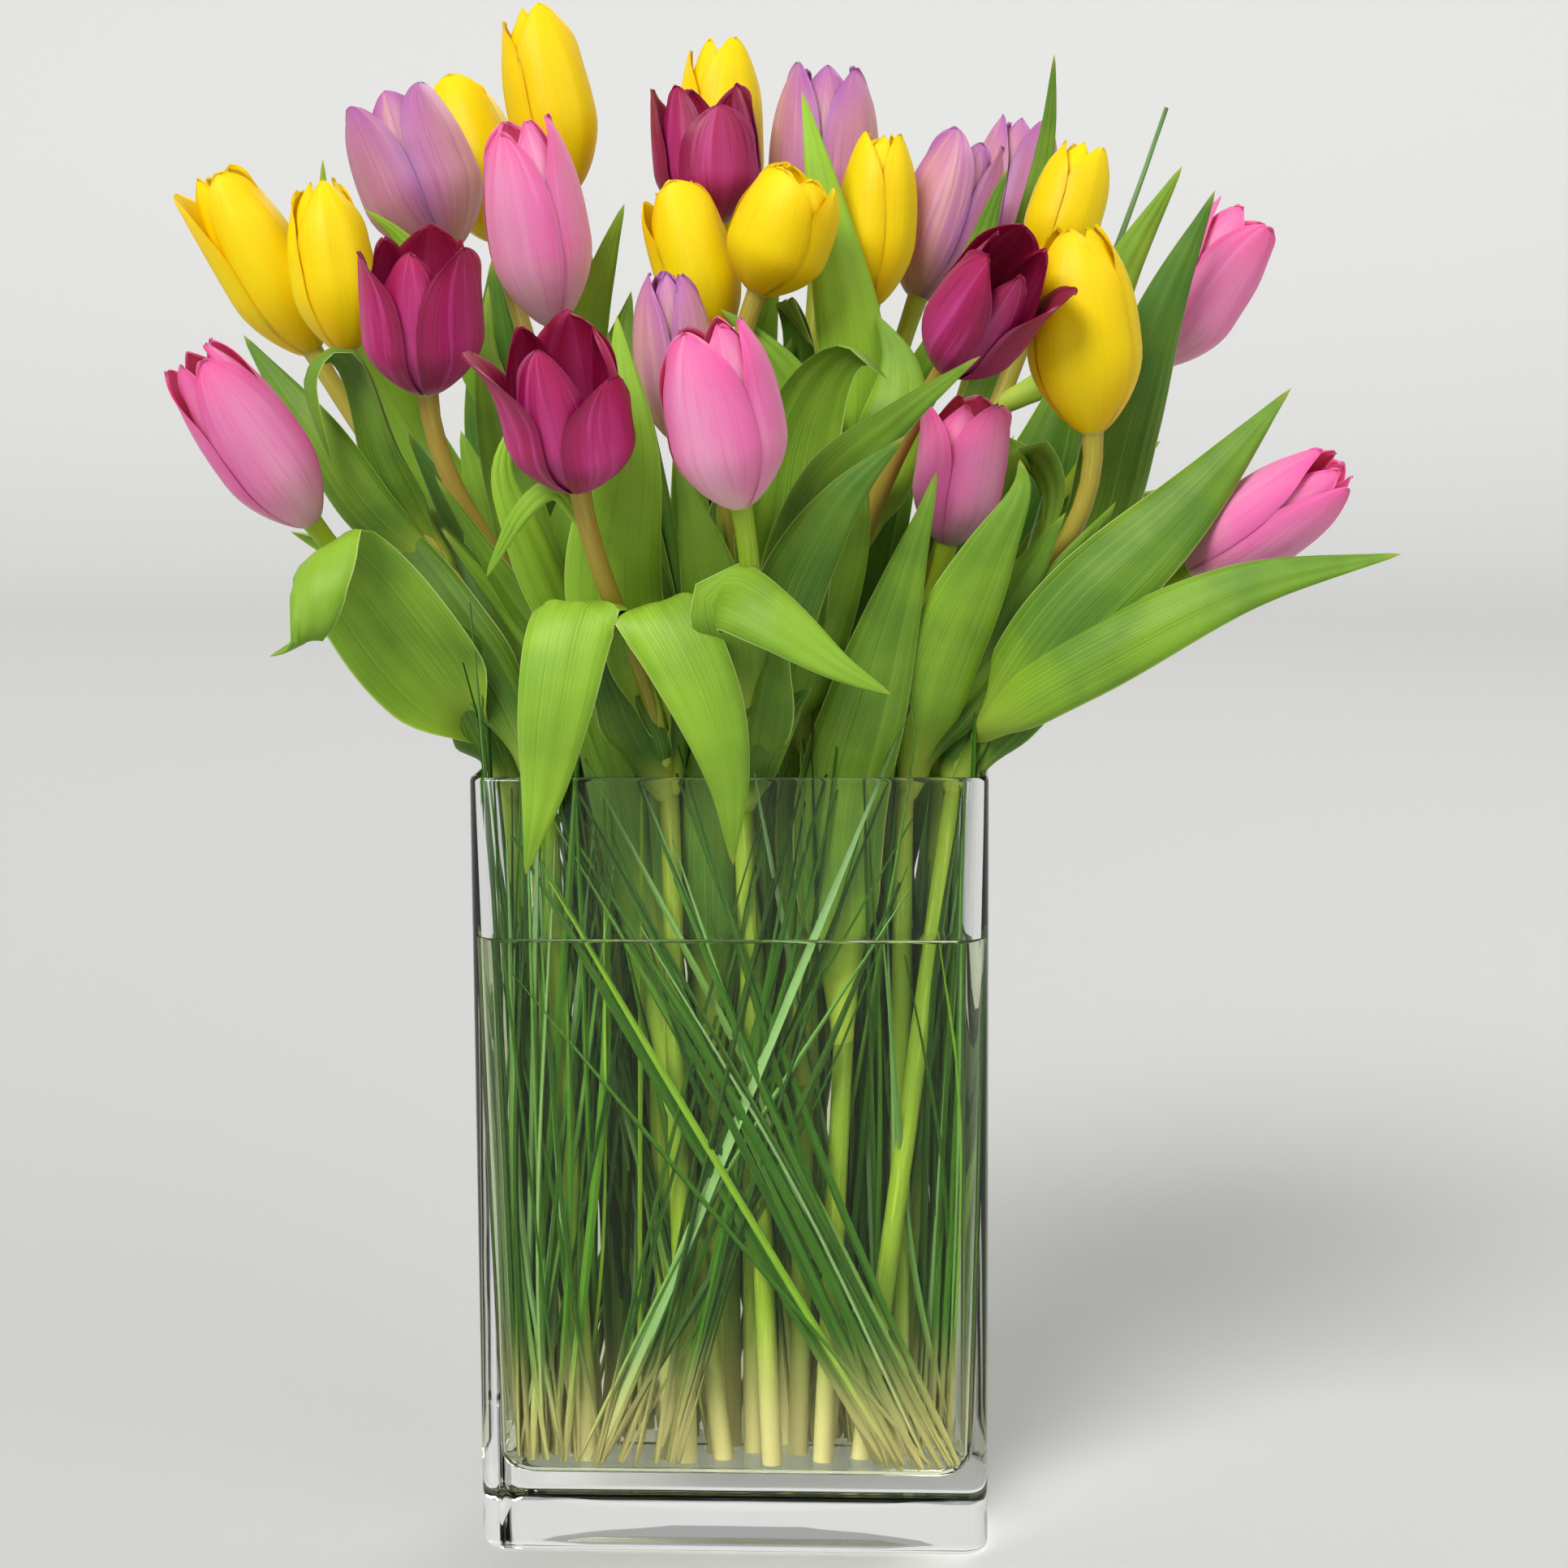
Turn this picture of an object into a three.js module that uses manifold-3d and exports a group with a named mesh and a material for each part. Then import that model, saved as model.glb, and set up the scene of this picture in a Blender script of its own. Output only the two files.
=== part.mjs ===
// Tulips in a vase: twenty-five cut tulips and bear grass standing in a rectangular glass vase of water.
// Millimetres, +Z up. The origin is the centre of the vase's flat foot, and the front of the bunch is -Y.
import * as THREE from "three";
import { mergeVertices } from "three/addons/utils/BufferGeometryUtils.js";
import Module from "manifold-3d";

const wasm = await Module();
wasm.setup();

// ---------------------------------------------------------------- driving dimensions

const GAP = 0.3; // clear space between pieces that touch on the real thing

const VASE = {
  width: 162,
  depth: 92,
  height: 250,
  corner: 7, // radius of the upright edges
  rimWall: 3,
  footWall: 6.5, // the walls thicken on their way down
  floor: 24, // thickness of the solid glass base
  footRound: 4,
  cornerSides: 3,
};
const WATER_LEVEL = 197;
const HOLE_SIDES = 4;
const HOLE_EASE = 0.45; // room round a stem or a blade in its hole in the water
const HOLE_START = 10; // a hole starts this far under the stem's foot, out of the water

const STEM = { radius: 3.2, sides: 5, bends: 4, foot: VASE.floor + 2 * GAP, collar: 235, footPull: 0.82 };
const STEM_REACH = 0.35; // length of a stem's handles, as a share of the way from collar to bloom

const BLADE = 0.8; // thickness of every leaf, petal and grass blade
const LEAF = {
  sheath: 0.35, // width at the stem, as a share of the widest place
  fullness: 0.85, // below 1, a leaf is widest below its middle
  channel: 0.14, // depth of the channel along its middle, as a share of its width
  wave: 0.05,
  waves: 2.5,
  step: 46,
  fewest: 4,
  most: 8,
};
const LEAF_TENSION = 0.5; // how tightly a leaf's middle line follows its points
const PETAL = {
  base: 3.6, // radius where the petals leave the receptacle
  bulge: 0.4, // height of the widest place, as a share of the bloom's length
  swell: 0.8, // below 1, the cup fills out quickly above its base
  shoulder: 0.35, // where a petal starts to narrow, as a share of its length
  round: 0.6, // how bluntly it narrows
  spread: 56, // half the angle that an outer petal spans, in degrees
  innerSpread: 50,
  innerInset: 2.5,
  innerShare: 0.96, // length of an inner petal, as a share of an outer one
  shutTip: 0.3, // radius at the tips of a shut bloom, as a share of the bulge
  openTip: 1.15,
  innerOpen: 0.7, // how open the inner petals are, as a share of the outer ones
  wild: 0.45, // how much further a wild petal opens
};
const OUTER_RINGS = [0.08, 0.42, 0.76, 1];
const INNER_RINGS = [0.08, 0.55, 1];
const CUP = { top: 0.1, lip: 1.6, sides: 6 }; // the receptacle that holds the roots of the petals

const GRASS_THICK = 0.8;
const GRASS_TIP = 0.5; // width of a blade's cut end, as a share of its foot
const GRASS_FOOT = VASE.floor + 5; // blades lean on the rounded foot of the walls
const GRASS_SCATTER = [1, 0.2, 1]; // how far the feet of one bunch's blades stand from its root
const GRASS_TRIES = 400;
const GRASS_CLEAR = 5.2; // least distance from a blade's middle line to a stem's
const BUNCH_CLEAR = 2.2; // least distance between the middle lines of two bunches' blades

const COLOURS = {
  yellow: 0xf5cf10,
  pink: 0xec86b4,
  lilac: 0xb683b4,
  burgundy: 0x841848,
  leaf: 0x5b9638,
  grass: 0x476f2c,
};

// ---------------------------------------------------------------- the tulips
// One row for each tulip. base and tip are the two ends of the bloom, width is its bulge, open runs from 0
// (shut) to 1 (wide), turn is the angle of the first petal, and wild opens one petal further than the rest.
// collar is where the stem passes the vase's mouth and foot, where it isn't a pull of the collar, where it
// stands. Each leaf leaves the stem at a share of its free length (below 0 is inside the vase), runs through
// its points, and shows its back to face, or lies across a direction.

const FRONT = [0, -1, 0];
const BACK = [0, 1, 0];

const TULIPS = [
  {
    name: "yellow_01", colour: "yellow", base: [-139, 20, 382], tip: [-170, 16, 438], width: 30, open: 0.3,
    turn: 20, collar: [-66, 4],
    leaves: [
      { at: 0.22, points: [[-76, 10, 300], [-82, 12, 330], [-90, 14, 356]], width: 22, face: FRONT },
      {
        at: 0.12, points: [[-86, 24, 275], [-116, 36, 304], [-152, 40, 322]],
        width: 29, face: [-0.3, 0.6, 0.7],
      },
    ],
  },
  {
    name: "lilac_01", colour: "lilac", base: [-98, 45, 414], tip: [-117, 55, 466], width: 40, open: 0.3,
    turn: 35, collar: [-48, 15],
    leaves: [
      {
        at: 0.35, points: [[-90, 36, 325], [-122, 48, 372], [-138, 49, 417], [-139, 45, 445]],
        width: 20, face: FRONT,
      },
      {
        at: 0.6, points: [[-82, 12, 374], [-95, 13, 402], [-108, 12, 418], [-119, 8, 427]],
        width: 14, face: FRONT,
      },
      {
        at: 0.15, points: [[-74, 46, 280], [-104, 64, 312], [-138, 74, 338]],
        width: 29, face: [-0.3, 0.9, 0.5],
      },
    ],
  },
  {
    name: "yellow_02", colour: "yellow", base: [-123, -4, 382], tip: [-132, 0, 435], width: 28, open: 0.2,
    turn: 70, collar: [-58, -28],
    leaves: [
      {
        at: 0.5, points: [[-112, -22, 330], [-130, -19, 355], [-145, -14, 374], [-155, -11, 387]],
        width: 18, face: FRONT,
      },
      {
        at: 0.5, points: [[-108, -25, 345], [-119, -29, 378], [-129, -33, 372], [-122, -38, 346]], width: 23,
        across: [[0.8, -0.5, 0.3], [0.3, -1, 0.1]],
      },
    ],
  },
  {
    name: "burgundy_01", colour: "burgundy", base: [-91, -45, 369], tip: [-91, -60, 414], width: 38,
    open: 0.75, turn: 200, collar: [-30, -19], foot: [-4, -20],
    leaves: [
      {
        at: 0.3, points: [[-62, -45, 325], [-68, -48, 345], [-64, -46, 362]],
        width: 15, face: [0.4, -1, 0],
      },
      {
        at: 0.2, points: [[-56, -22, 296], [-71, -17, 345], [-77, -12, 377], [-77, -8, 402]],
        width: 19, face: FRONT,
      },
    ],
  },
  {
    name: "yellow_03", colour: "yellow", base: [-59, 60, 435], tip: [-72, 68, 494], width: 30, open: 0.3,
    turn: 10, collar: [-27, 19],
    leaves: [
      { at: 0.35, points: [[-41, 57, 322], [-48, 82, 362], [-42, 96, 402]], width: 29, face: BACK },
    ],
  },
  {
    name: "yellow_04", colour: "yellow", base: [-87, 85, 420], tip: [-103, 98, 473], width: 32, open: 0.3,
    turn: 50, collar: [-40, 29],
    leaves: [
      {
        at: 0.12, points: [[-58, 62, 285], [-82, 94, 330], [-102, 110, 374]],
        width: 30, face: [-0.3, 1, 0],
      },
      {
        at: 0.2, points: [[-38, 66, 290], [-38, 92, 300], [-40, 104, 270], [-42, 100, 232]], width: 29,
        across: [[-1, 0, 0], [-1, 0, 0]],
      },
    ],
  },
  {
    name: "pink_01", colour: "pink", base: [-56, -10, 390], tip: [-65, -20, 452], width: 33, open: 0.3,
    turn: 330, collar: [-27, -4],
    leaves: [
      {
        at: 0.7, points: [[-50, 4, 368], [-47, 10, 392], [-41, 10, 412], [-35, 8, 428]],
        width: 15, face: FRONT,
      },
      {
        at: 0.2, points: [[-42, -13, 285], [-50, -17, 312], [-48, -18, 338], [-45, -14, 354]],
        width: 24, face: FRONT,
      },
    ],
  },
  {
    name: "pink_02", colour: "pink", base: [-127, -50, 330], tip: [-157, -75, 381], width: 30, open: 0.35,
    turn: 100, collar: [-71, -15],
    leaves: [
      {
        at: 0.2,
        points: [
          [-84, -33, 268], [-98, -50, 290], [-117, -62, 318],
          [-120, -74, 312], [-124, -77, 298], [-137, -70, 290],
        ],
        width: 38, across: [[0.84, 0, 0.54], [0.84, 0, 0.54]],
      },
    ],
  },
  {
    name: "burgundy_02", colour: "burgundy", base: [-40, -85, 341], tip: [-45, -105, 386], width: 39,
    open: 0.8, turn: 150, wild: 1, collar: [-19, -30],
    leaves: [
      {
        at: 0.85, points: [[-47, -76, 340], [-58, -76, 334], [-70, -72, 314]],
        width: 9, face: [0, -1, 0.4],
      },
      { at: 0.12, points: [[-34, -48, 305], [-29, -54, 352], [-32, -50, 392]], width: 31, face: FRONT },
      {
        at: 0.25,
        points: [[-34, -56, 292], [-43, -70, 302], [-49, -78, 276], [-54, -72, 249], [-61, -62, 222]],
        width: 27, across: [[1, 0, 0], [1, 0, 0]],
      },
      {
        at: 0.2, points: [[-24, -56, 288], [-18, -72, 302], [-5, -80, 281], [2, -74, 255], [3, -62, 225]],
        width: 27, across: [[0.9, 0, 0.4], [1, 0, 0]],
      },
    ],
  },
  {
    name: "pink_03", colour: "pink", base: [8, -90, 336], tip: [-1, -102, 388], width: 36, open: 0.35,
    turn: 85, collar: [4, -31], foot: [12, -27],
    leaves: [
      {
        at: 0.2, points: [[0, -50, 285], [-4, -55, 312], [-9, -57, 332], [-13, -55, 348]],
        width: 22, face: FRONT,
      },
      {
        at: 0.3, points: [[5, -68, 292], [4, -86, 308], [16, -97, 304], [36, -100, 290], [52, -96, 281]],
        width: 24, face: [0, -1, 0.4],
      },
      {
        at: 0.25, points: [[14, -60, 290], [23, -71, 314], [38, -78, 338], [56, -81, 356]],
        width: 23, face: [0.3, -1, 0.2],
      },
      { at: 0.02, points: [[10, -42, 258], [20, -50, 272], [27, -54, 279]], width: 16, face: FRONT },
    ],
  },
  {
    name: "lilac_02", colour: "lilac", base: [-15, -24, 354], tip: [-19, -28, 405], width: 26, open: 0.2,
    turn: 300, collar: [-8, -14],
    leaves: [
      { at: -0.1, points: [[-8, -26, 244], [-4, -34, 264], [6, -38, 290]], width: 19, face: FRONT },
    ],
  },
  {
    name: "yellow_05", colour: "yellow", base: [-5, 0, 385], tip: [-20, 5, 432], width: 27, open: 0.55,
    turn: 40, collar: [-3, -1],
    leaves: [],
  },
  {
    name: "yellow_06", colour: "yellow", base: [9, -20, 399], tip: [24, -25, 434], width: 33, open: 0.45,
    turn: 110, collar: [6, -10],
    leaves: [
      {
        at: 0.35, points: [[17, -24, 335], [27, -22, 377], [42, -27, 377], [50, -33, 362]], width: 22,
        across: [[0.9, -0.3, 0], [0.5, -0.8, 0.4]],
      },
      {
        at: 0.6, points: [[26, -12, 352], [19, -13, 371], [8, -15, 385], [-3, -14, 394]],
        width: 16, face: FRONT,
      },
    ],
  },
  {
    name: "burgundy_03", colour: "burgundy", base: [-8, 30, 422], tip: [-12, 32, 467], width: 36, open: 0.7,
    turn: 270, collar: [-6, 11],
    leaves: [{ at: 0.5, points: [[-4, 36, 350], [4, 44, 380], [12, 46, 404]], width: 22, face: BACK }],
  },
  {
    name: "yellow_07", colour: "yellow", base: [-9, 75, 419], tip: [-10, 85, 484], width: 30, open: 0.4,
    turn: 65, collar: [-5, 27],
    leaves: [
      {
        at: 0.08, points: [[-8, 54, 280], [-14, 84, 320], [-20, 104, 362], [-22, 112, 396]],
        width: 31, face: BACK,
      },
      { at: 0.35, points: [[6, 66, 320], [16, 88, 350], [30, 102, 384]], width: 27, face: BACK },
    ],
  },
  {
    name: "lilac_03", colour: "lilac", base: [25, 55, 416], tip: [28, 62, 475], width: 37, open: 0.35,
    turn: 5, collar: [12, 20],
    leaves: [
      { at: 0.15, points: [[24, 50, 285], [34, 72, 325], [40, 84, 366]], width: 29, face: BACK },
    ],
  },
  {
    name: "yellow_08", colour: "yellow", base: [43, 15, 396], tip: [47, 18, 449], width: 26, open: 0.25,
    turn: 95, collar: [19, 3],
    leaves: [
      {
        at: 0.5, points: [[36, 0, 340], [38, -2, 379], [30, -2, 425], [22, 2, 462]],
        width: 23, face: [0.3, -1, 0],
      },
      {
        at: 0.4, points: [[23, 6, 345], [20, 8, 384], [17, 0, 396], [26, -8, 382]], width: 16,
        across: [[1, 0, 0], [0.6, -0.6, 0.5]],
      },
    ],
  },
  {
    name: "lilac_04", colour: "lilac", base: [58, 35, 398], tip: [76, 42, 449], width: 33, open: 0.35,
    turn: 20, collar: [28, 13],
    leaves: [
      {
        at: 0.75, points: [[68, 14, 384], [77, 12, 409], [82, 10, 425], [87, 8, 438]],
        width: 14, face: FRONT,
      },
    ],
  },
  {
    name: "lilac_05", colour: "lilac", base: [85, 85, 409], tip: [94, 98, 458], width: 30, open: 0.35,
    turn: 80, collar: [40, 29],
    leaves: [
      {
        at: 0.6, points: [[84, 60, 380], [96, 62, 427], [101, 62, 453], [103, 62, 478]],
        width: 12, face: FRONT,
      },
      {
        at: 0.1, points: [[54, 63, 280], [76, 92, 310], [106, 108, 330], [132, 118, 336]],
        width: 31, face: [0.3, 0.9, 0.5],
      },
      {
        at: 0.25, points: [[52, 68, 296], [52, 92, 302], [51, 102, 270], [48, 98, 236]], width: 27,
        across: [[-1, 0, 0], [-1, 0, 0]],
      },
    ],
  },
  {
    name: "yellow_09", colour: "yellow", base: [100, 38, 406], tip: [113, 46, 447], width: 25, open: 0.35,
    turn: 15, collar: [48, 13],
    leaves: [
      { at: 0.75, points: [[110, 26, 378], [126, 25, 410], [143, 23, 439]], width: 15, face: FRONT },
      {
        at: 0.15, points: [[74, 50, 286], [106, 66, 320], [140, 76, 350]],
        width: 29, face: [0.3, 0.9, 0.3],
      },
    ],
  },
  {
    name: "burgundy_04", colour: "burgundy", base: [68, -50, 376], tip: [90, -84, 408], width: 33, open: 0.55,
    turn: 340, wild: 0, collar: [24, -14],
    leaves: [
      {
        at: 0.08, points: [[20, -42, 300], [31, -57, 338], [53, -72, 360], [78, -86, 379]],
        width: 23, face: [0, -1, 0.4],
      },
      {
        at: 0.15, points: [[20, -28, 270], [27, -37, 295], [38, -42, 325], [43, -42, 350]],
        width: 23, face: FRONT,
      },
      { at: 0.55, points: [[50, -14, 354], [53, -8, 375], [46, -3, 392]], width: 23, face: FRONT },
    ],
  },
  {
    name: "yellow_10", colour: "yellow", base: [112, -50, 356], tip: [106, -54, 416], width: 35, open: 0.15,
    turn: 90, collar: [54, -16], foot: [52, -6],
    leaves: [
      {
        at: 0.06, points: [[65, -42, 284], [80, -59, 318], [90, -62, 338], [90, -53, 348]],
        width: 26, face: [0.2, -1, 0],
      },
    ],
  },
  {
    name: "pink_04", colour: "pink", base: [134, 5, 377], tip: [163, 0, 423], width: 30, open: 0.5,
    turn: 60, collar: [65, 2],
    leaves: [
      {
        at: 0.4,
        points: [[82, -6, 315], [86, -10, 340], [93, -14, 350], [101, -18, 338], [97, -22, 315]],
        width: 12, across: [[0.4, -1, 0], [0.4, -1, 0]],
      },
      {
        at: 0.3, points: [[92, -8, 295], [102, -14, 318], [113, -16, 335], [124, -12, 343]],
        width: 24, face: FRONT,
      },
      {
        at: 0.5, points: [[112, -14, 320], [123, -21, 358], [134, -24, 393], [150, -25, 429]],
        width: 24, face: [0.2, -1, 0.2],
      },
      {
        at: 0.25, points: [[92, 22, 296], [122, 34, 324], [158, 38, 338]],
        width: 27, face: [0.2, 0.6, 0.7],
      },
    ],
  },
  {
    name: "pink_05", colour: "pink", base: [68, -35, 322], tip: [76, -42, 366], width: 28, open: 0.4,
    turn: 30, collar: [39, -24], foot: [28, -22],
    leaves: [
      {
        at: -0.1, points: [[37, -38, 262], [52, -55, 303], [62, -62, 328], [64, -62, 344]],
        width: 31, face: [0.1, -1, 0.2],
      },
    ],
  },
  {
    name: "pink_06", colour: "pink", base: [143, -40, 314], tip: [185, -60, 345], width: 29, open: 0.3,
    turn: 75, collar: [69, -20], foot: [40, -17],
    leaves: [
      {
        at: 0.23, points: [[88, -44, 276], [108, -56, 303], [138, -58, 332], [171, -56, 369]],
        width: 29, face: [-0.1, -1, 0.2],
      },
      {
        at: 0.26, points: [[86, -45, 270], [109, -60, 286], [156, -68, 310], [203, -68, 320]],
        width: 22, face: [0, -1, 0.3],
      },
    ],
  },
];

// Bunches of bear grass. Each fans out from one root on the vase's floor, and its blades end at places
// drawn from a box, so that they lie in front of, behind or between the stems.
const GRASS = [
  {
    name: "grass_left_diagonal", root: [60, -36],
    x: [-74, -10], y: [-40.5, -40.3], z: [185, 246],
    blades: 6, width: 3.4, seed: 11,
  },
  {
    name: "grass_right_diagonal", root: [-34, -33],
    x: [8, 72], y: [-37.7, -37.5], z: [200, 246],
    blades: 4, width: 4, seed: 23,
  },
  {
    name: "grass_left", root: [-64, -30],
    x: [-75, -52], y: [-38, -20], z: [190, 242],
    blades: 4, width: 3, seed: 5,
  },
  {
    name: "grass_right", root: [68, 14],
    x: [44, 75], y: [14, 38], z: [190, 242],
    blades: 4, width: 3, seed: 31,
  },
  {
    name: "grass_middle", root: [4, 8],
    x: [-20, 34], y: [-6, 34], z: [190, 240],
    blades: 4, width: 2.8, seed: 47,
  },
  {
    name: "grass_back_left", root: [-58, 34],
    x: [-72, 40], y: [38, 40.6], z: [200, 246],
    blades: 6, width: 3.4, seed: 61,
  },
];
// A tall blade with a cut end, which stands above the flowers.
const TALL_BLADE = { name: "grass_tall", points: [[54, 32], [64, 22, 235], [140, 60, 460]], width: 3 };

// ---------------------------------------------------------------- geometry

const vector = ([x, y, z]) => new THREE.Vector3(x, y, z);
const mix = (a, b, share) => a + (b - a) * share;

// A closed solid through rings of points, each with the same even number of points. The first half of a
// ring is split along one diagonal and the second along the other, so both faces of a thin blade agree.
function loft(rings) {
  const count = rings[0].length;
  const half = count / 2;
  const index = [];
  const corner = (ring, i) => ring * count + (i % count);
  for (let k = 0; k + 1 < rings.length; k++) {
    for (let i = 0; i < count; i++) {
      const [a, b, c, d] = [corner(k, i), corner(k, i + 1), corner(k + 1, i + 1), corner(k + 1, i)];
      if (i < half) index.push(a, b, c, a, c, d);
      else index.push(a, b, d, b, c, d);
    }
  }
  const last = rings.length - 1;
  for (let i = 0; i + 1 < half; i++) {
    const pair = [i, i + 1, count - 2 - i, count - 1 - i];
    const [a, b, c, d] = pair.map((p) => corner(0, p));
    index.push(a, c, b, a, d, c);
    const [e, f, g, h] = pair.map((p) => corner(last, p));
    index.push(e, f, g, e, g, h);
  }
  const geometry = new THREE.BufferGeometry().setFromPoints(rings.flat());
  geometry.setIndex(index);
  return geometry;
}

// The solid of a closed geometry, turned right side out.
function solid(geometry) {
  const merged = mergeVertices(geometry, 1e-4);
  const vertProperties = new Float32Array(merged.attributes.position.array);
  const faces = [];
  for (let i = 0; i < merged.index.count; i += 3) {
    const [a, b, c] = merged.index.array.slice(i, i + 3);
    if (a !== b && b !== c && c !== a) faces.push(a, b, c); // a blade's point takes some faces away
  }
  const triVerts = new Uint32Array(faces);
  const made = new wasm.Manifold(new wasm.Mesh({ numProp: 3, vertProperties, triVerts }));
  if (made.volume() > 0) return made;
  triVerts.reverse();
  return new wasm.Manifold(new wasm.Mesh({ numProp: 3, vertProperties, triVerts }));
}

// The largest body of a solid, with sealed hollows filled and loose scraps dropped.
function oneBody(shape) {
  return shape.decompose().reduce((best, piece) => (piece.volume() > best.volume() ? piece : best));
}

const joined = (solids) => oneBody(wasm.Manifold.union(solids));

function meshOf(name, shape, material) {
  const { vertProperties, triVerts } = shape.getMesh();
  const geometry = new THREE.BufferGeometry();
  geometry.setAttribute("position", new THREE.BufferAttribute(vertProperties, 3));
  geometry.setIndex(new THREE.BufferAttribute(triVerts, 1));
  geometry.computeVertexNormals();
  const mesh = new THREE.Mesh(geometry, material);
  mesh.name = name;
  return mesh;
}

// A rectangle with rounded corners, as a ring at one height.
function roundedRing(width, depth, radius, height) {
  const ring = [];
  const corners = [[1, 1, 0], [-1, 1, 90], [-1, -1, 180], [1, -1, 270]];
  for (const [signX, signY, start] of corners) {
    for (let i = 0; i <= VASE.cornerSides; i++) {
      const angle = THREE.MathUtils.degToRad(start + (90 * i) / VASE.cornerSides);
      const x = signX * (width / 2 - radius) + radius * Math.cos(angle);
      const y = signY * (depth / 2 - radius) + radius * Math.sin(angle);
      ring.push(new THREE.Vector3(x, y, height));
    }
  }
  return ring;
}

// A round ring of points about a place, square to a direction.
function roundRing(centre, direction, radius, sides) {
  const across = new THREE.Vector3(0, 1, 0).projectOnPlane(direction).normalize();
  const up = new THREE.Vector3().crossVectors(direction, across);
  return Array.from({ length: sides }, (_, i) => {
    const angle = (2 * Math.PI * i) / sides;
    return centre
      .clone()
      .addScaledVector(across, radius * Math.cos(angle))
      .addScaledVector(up, radius * Math.sin(angle));
  });
}

// ---------------------------------------------------------------- vase and water

// The inner wall's ring at a height, drawn in by a further inset.
function cavityRing(height, inset = 0) {
  const wall = mix(VASE.footWall, VASE.rimWall, (height - VASE.floor) / (VASE.height - VASE.floor)) + inset;
  return roundedRing(VASE.width - 2 * wall, VASE.depth - 2 * wall, VASE.corner - 1, height);
}

// The cavity's rounded bottom, as heights above the floor and insets.
const CAVITY_FOOT = [[0, 7], [1.2, 3.2], [4, 0.8], [9, 0]];

function vaseSolid() {
  const { width, depth, height, corner, rimWall, footRound } = VASE;
  const outer = (z, inset) => roundedRing(width - 2 * inset, depth - 2 * inset, corner - inset / 2, z);
  const lip = rimWall / 2;
  const rings = [
    outer(0, footRound),
    outer(footRound * 0.3, footRound * 0.3),
    outer(footRound, 0),
    outer(height - lip, 0),
    outer(height, lip * 0.6),
    cavityRing(height, -lip * 0.6),
    cavityRing(height - lip),
    ...CAVITY_FOOT.toReversed().map(([rise, inset]) => cavityRing(VASE.floor + rise, inset)),
  ];
  return solid(loft(rings));
}

function waterSolid(holes) {
  const rings = CAVITY_FOOT.map(([rise, inset]) => cavityRing(VASE.floor + GAP + rise, inset + GAP));
  rings.push(cavityRing(WATER_LEVEL, GAP));
  return oneBody(solid(loft(rings)).subtract(wasm.Manifold.union(holes)));
}

// ---------------------------------------------------------------- stems

const collarOf = (tulip) => vector([...tulip.collar, STEM.collar]);
const footOf = (tulip) => {
  const [x, y] = tulip.foot ?? tulip.collar.map((c) => c * STEM.footPull);
  return vector([x, y, STEM.foot]);
};

// The free part of a stem: it leaves the vase in line with its lower part and meets the bloom along its axis.
function stemCurve(tulip) {
  const collar = collarOf(tulip);
  const base = vector(tulip.base);
  const axis = vector(tulip.tip).sub(base).normalize();
  const end = base.clone().addScaledVector(axis, -GAP);
  const reach = collar.distanceTo(end) * STEM_REACH;
  const rise = collar.clone().sub(footOf(tulip)).normalize();
  return new THREE.CubicBezierCurve3(
    collar,
    collar.clone().addScaledVector(rise, reach),
    end.clone().addScaledVector(axis, -reach),
    end,
  );
}

// A place on the stem: a share of its free part, or below 0 a share of the part in the vase.
function stemPoint(tulip, share) {
  if (share >= 0) return stemCurve(tulip).getPoint(share);
  return collarOf(tulip).lerp(footOf(tulip), -share);
}

function stemSolid(tulip) {
  const curve = stemCurve(tulip);
  const foot = footOf(tulip);
  const rings = [roundRing(foot, curve.getTangent(0), STEM.radius, STEM.sides)];
  for (let i = 0; i <= STEM.bends; i++) {
    const share = i / STEM.bends;
    rings.push(roundRing(curve.getPoint(share), curve.getTangent(share), STEM.radius, STEM.sides));
  }
  return solid(loft(rings));
}

function stemHole(tulip) {
  const foot = footOf(tulip);
  const collar = collarOf(tulip);
  const rise = collar.clone().sub(foot).normalize();
  const below = foot.clone().addScaledVector(rise, -HOLE_START);
  const ring = (centre) => roundRing(centre, rise, (STEM.radius + HOLE_EASE) * Math.SQRT2, HOLE_SIDES);
  return solid(loft([ring(below), ring(collar)]));
}

// ---------------------------------------------------------------- leaves

// A leaf's width along its length, as a share of its widest place.
const leafShape = (share) =>
  (LEAF.sheath * (1 - share) + Math.sin(Math.PI * share ** LEAF.fullness)) / (1 + LEAF.sheath / 2);

function leafSolid(tulip, leaf) {
  const points = [stemPoint(tulip, leaf.at), ...leaf.points.map(vector)];
  const curve = new THREE.CatmullRomCurve3(points, false, "catmullrom", LEAF_TENSION);
  const steps = THREE.MathUtils.clamp(Math.round(curve.getLength() / LEAF.step) + 1, LEAF.fewest, LEAF.most);
  const hints = leaf.across ?? [leaf.face, leaf.face];
  const rings = [];
  for (let i = 0; i <= steps; i++) {
    const share = i / steps;
    const centre = curve.getPointAt(share);
    const tangent = curve.getTangentAt(share);
    const hint = vector(hints[0]).lerp(vector(hints[1]), share).projectOnPlane(tangent).normalize();
    const side = leaf.across ? hint : new THREE.Vector3().crossVectors(hint, tangent);
    const back = new THREE.Vector3().crossVectors(tangent, side);
    const half = (leaf.width * leafShape(share)) / 2;
    const wave = LEAF.wave * leaf.width * Math.sin(LEAF.waves * 2 * Math.PI * share) * share;
    const row = [-1, 0, 1].map((place) => {
      const out = (1 - Math.abs(place)) * LEAF.channel * 2 * half + place * wave;
      return centre.clone().addScaledVector(side, place * half).addScaledVector(back, out);
    });
    const under = row.map((p) => p.clone().addScaledVector(back, -BLADE)).reverse();
    rings.push([...row, ...under]);
  }
  return solid(loft(rings));
}

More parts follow.
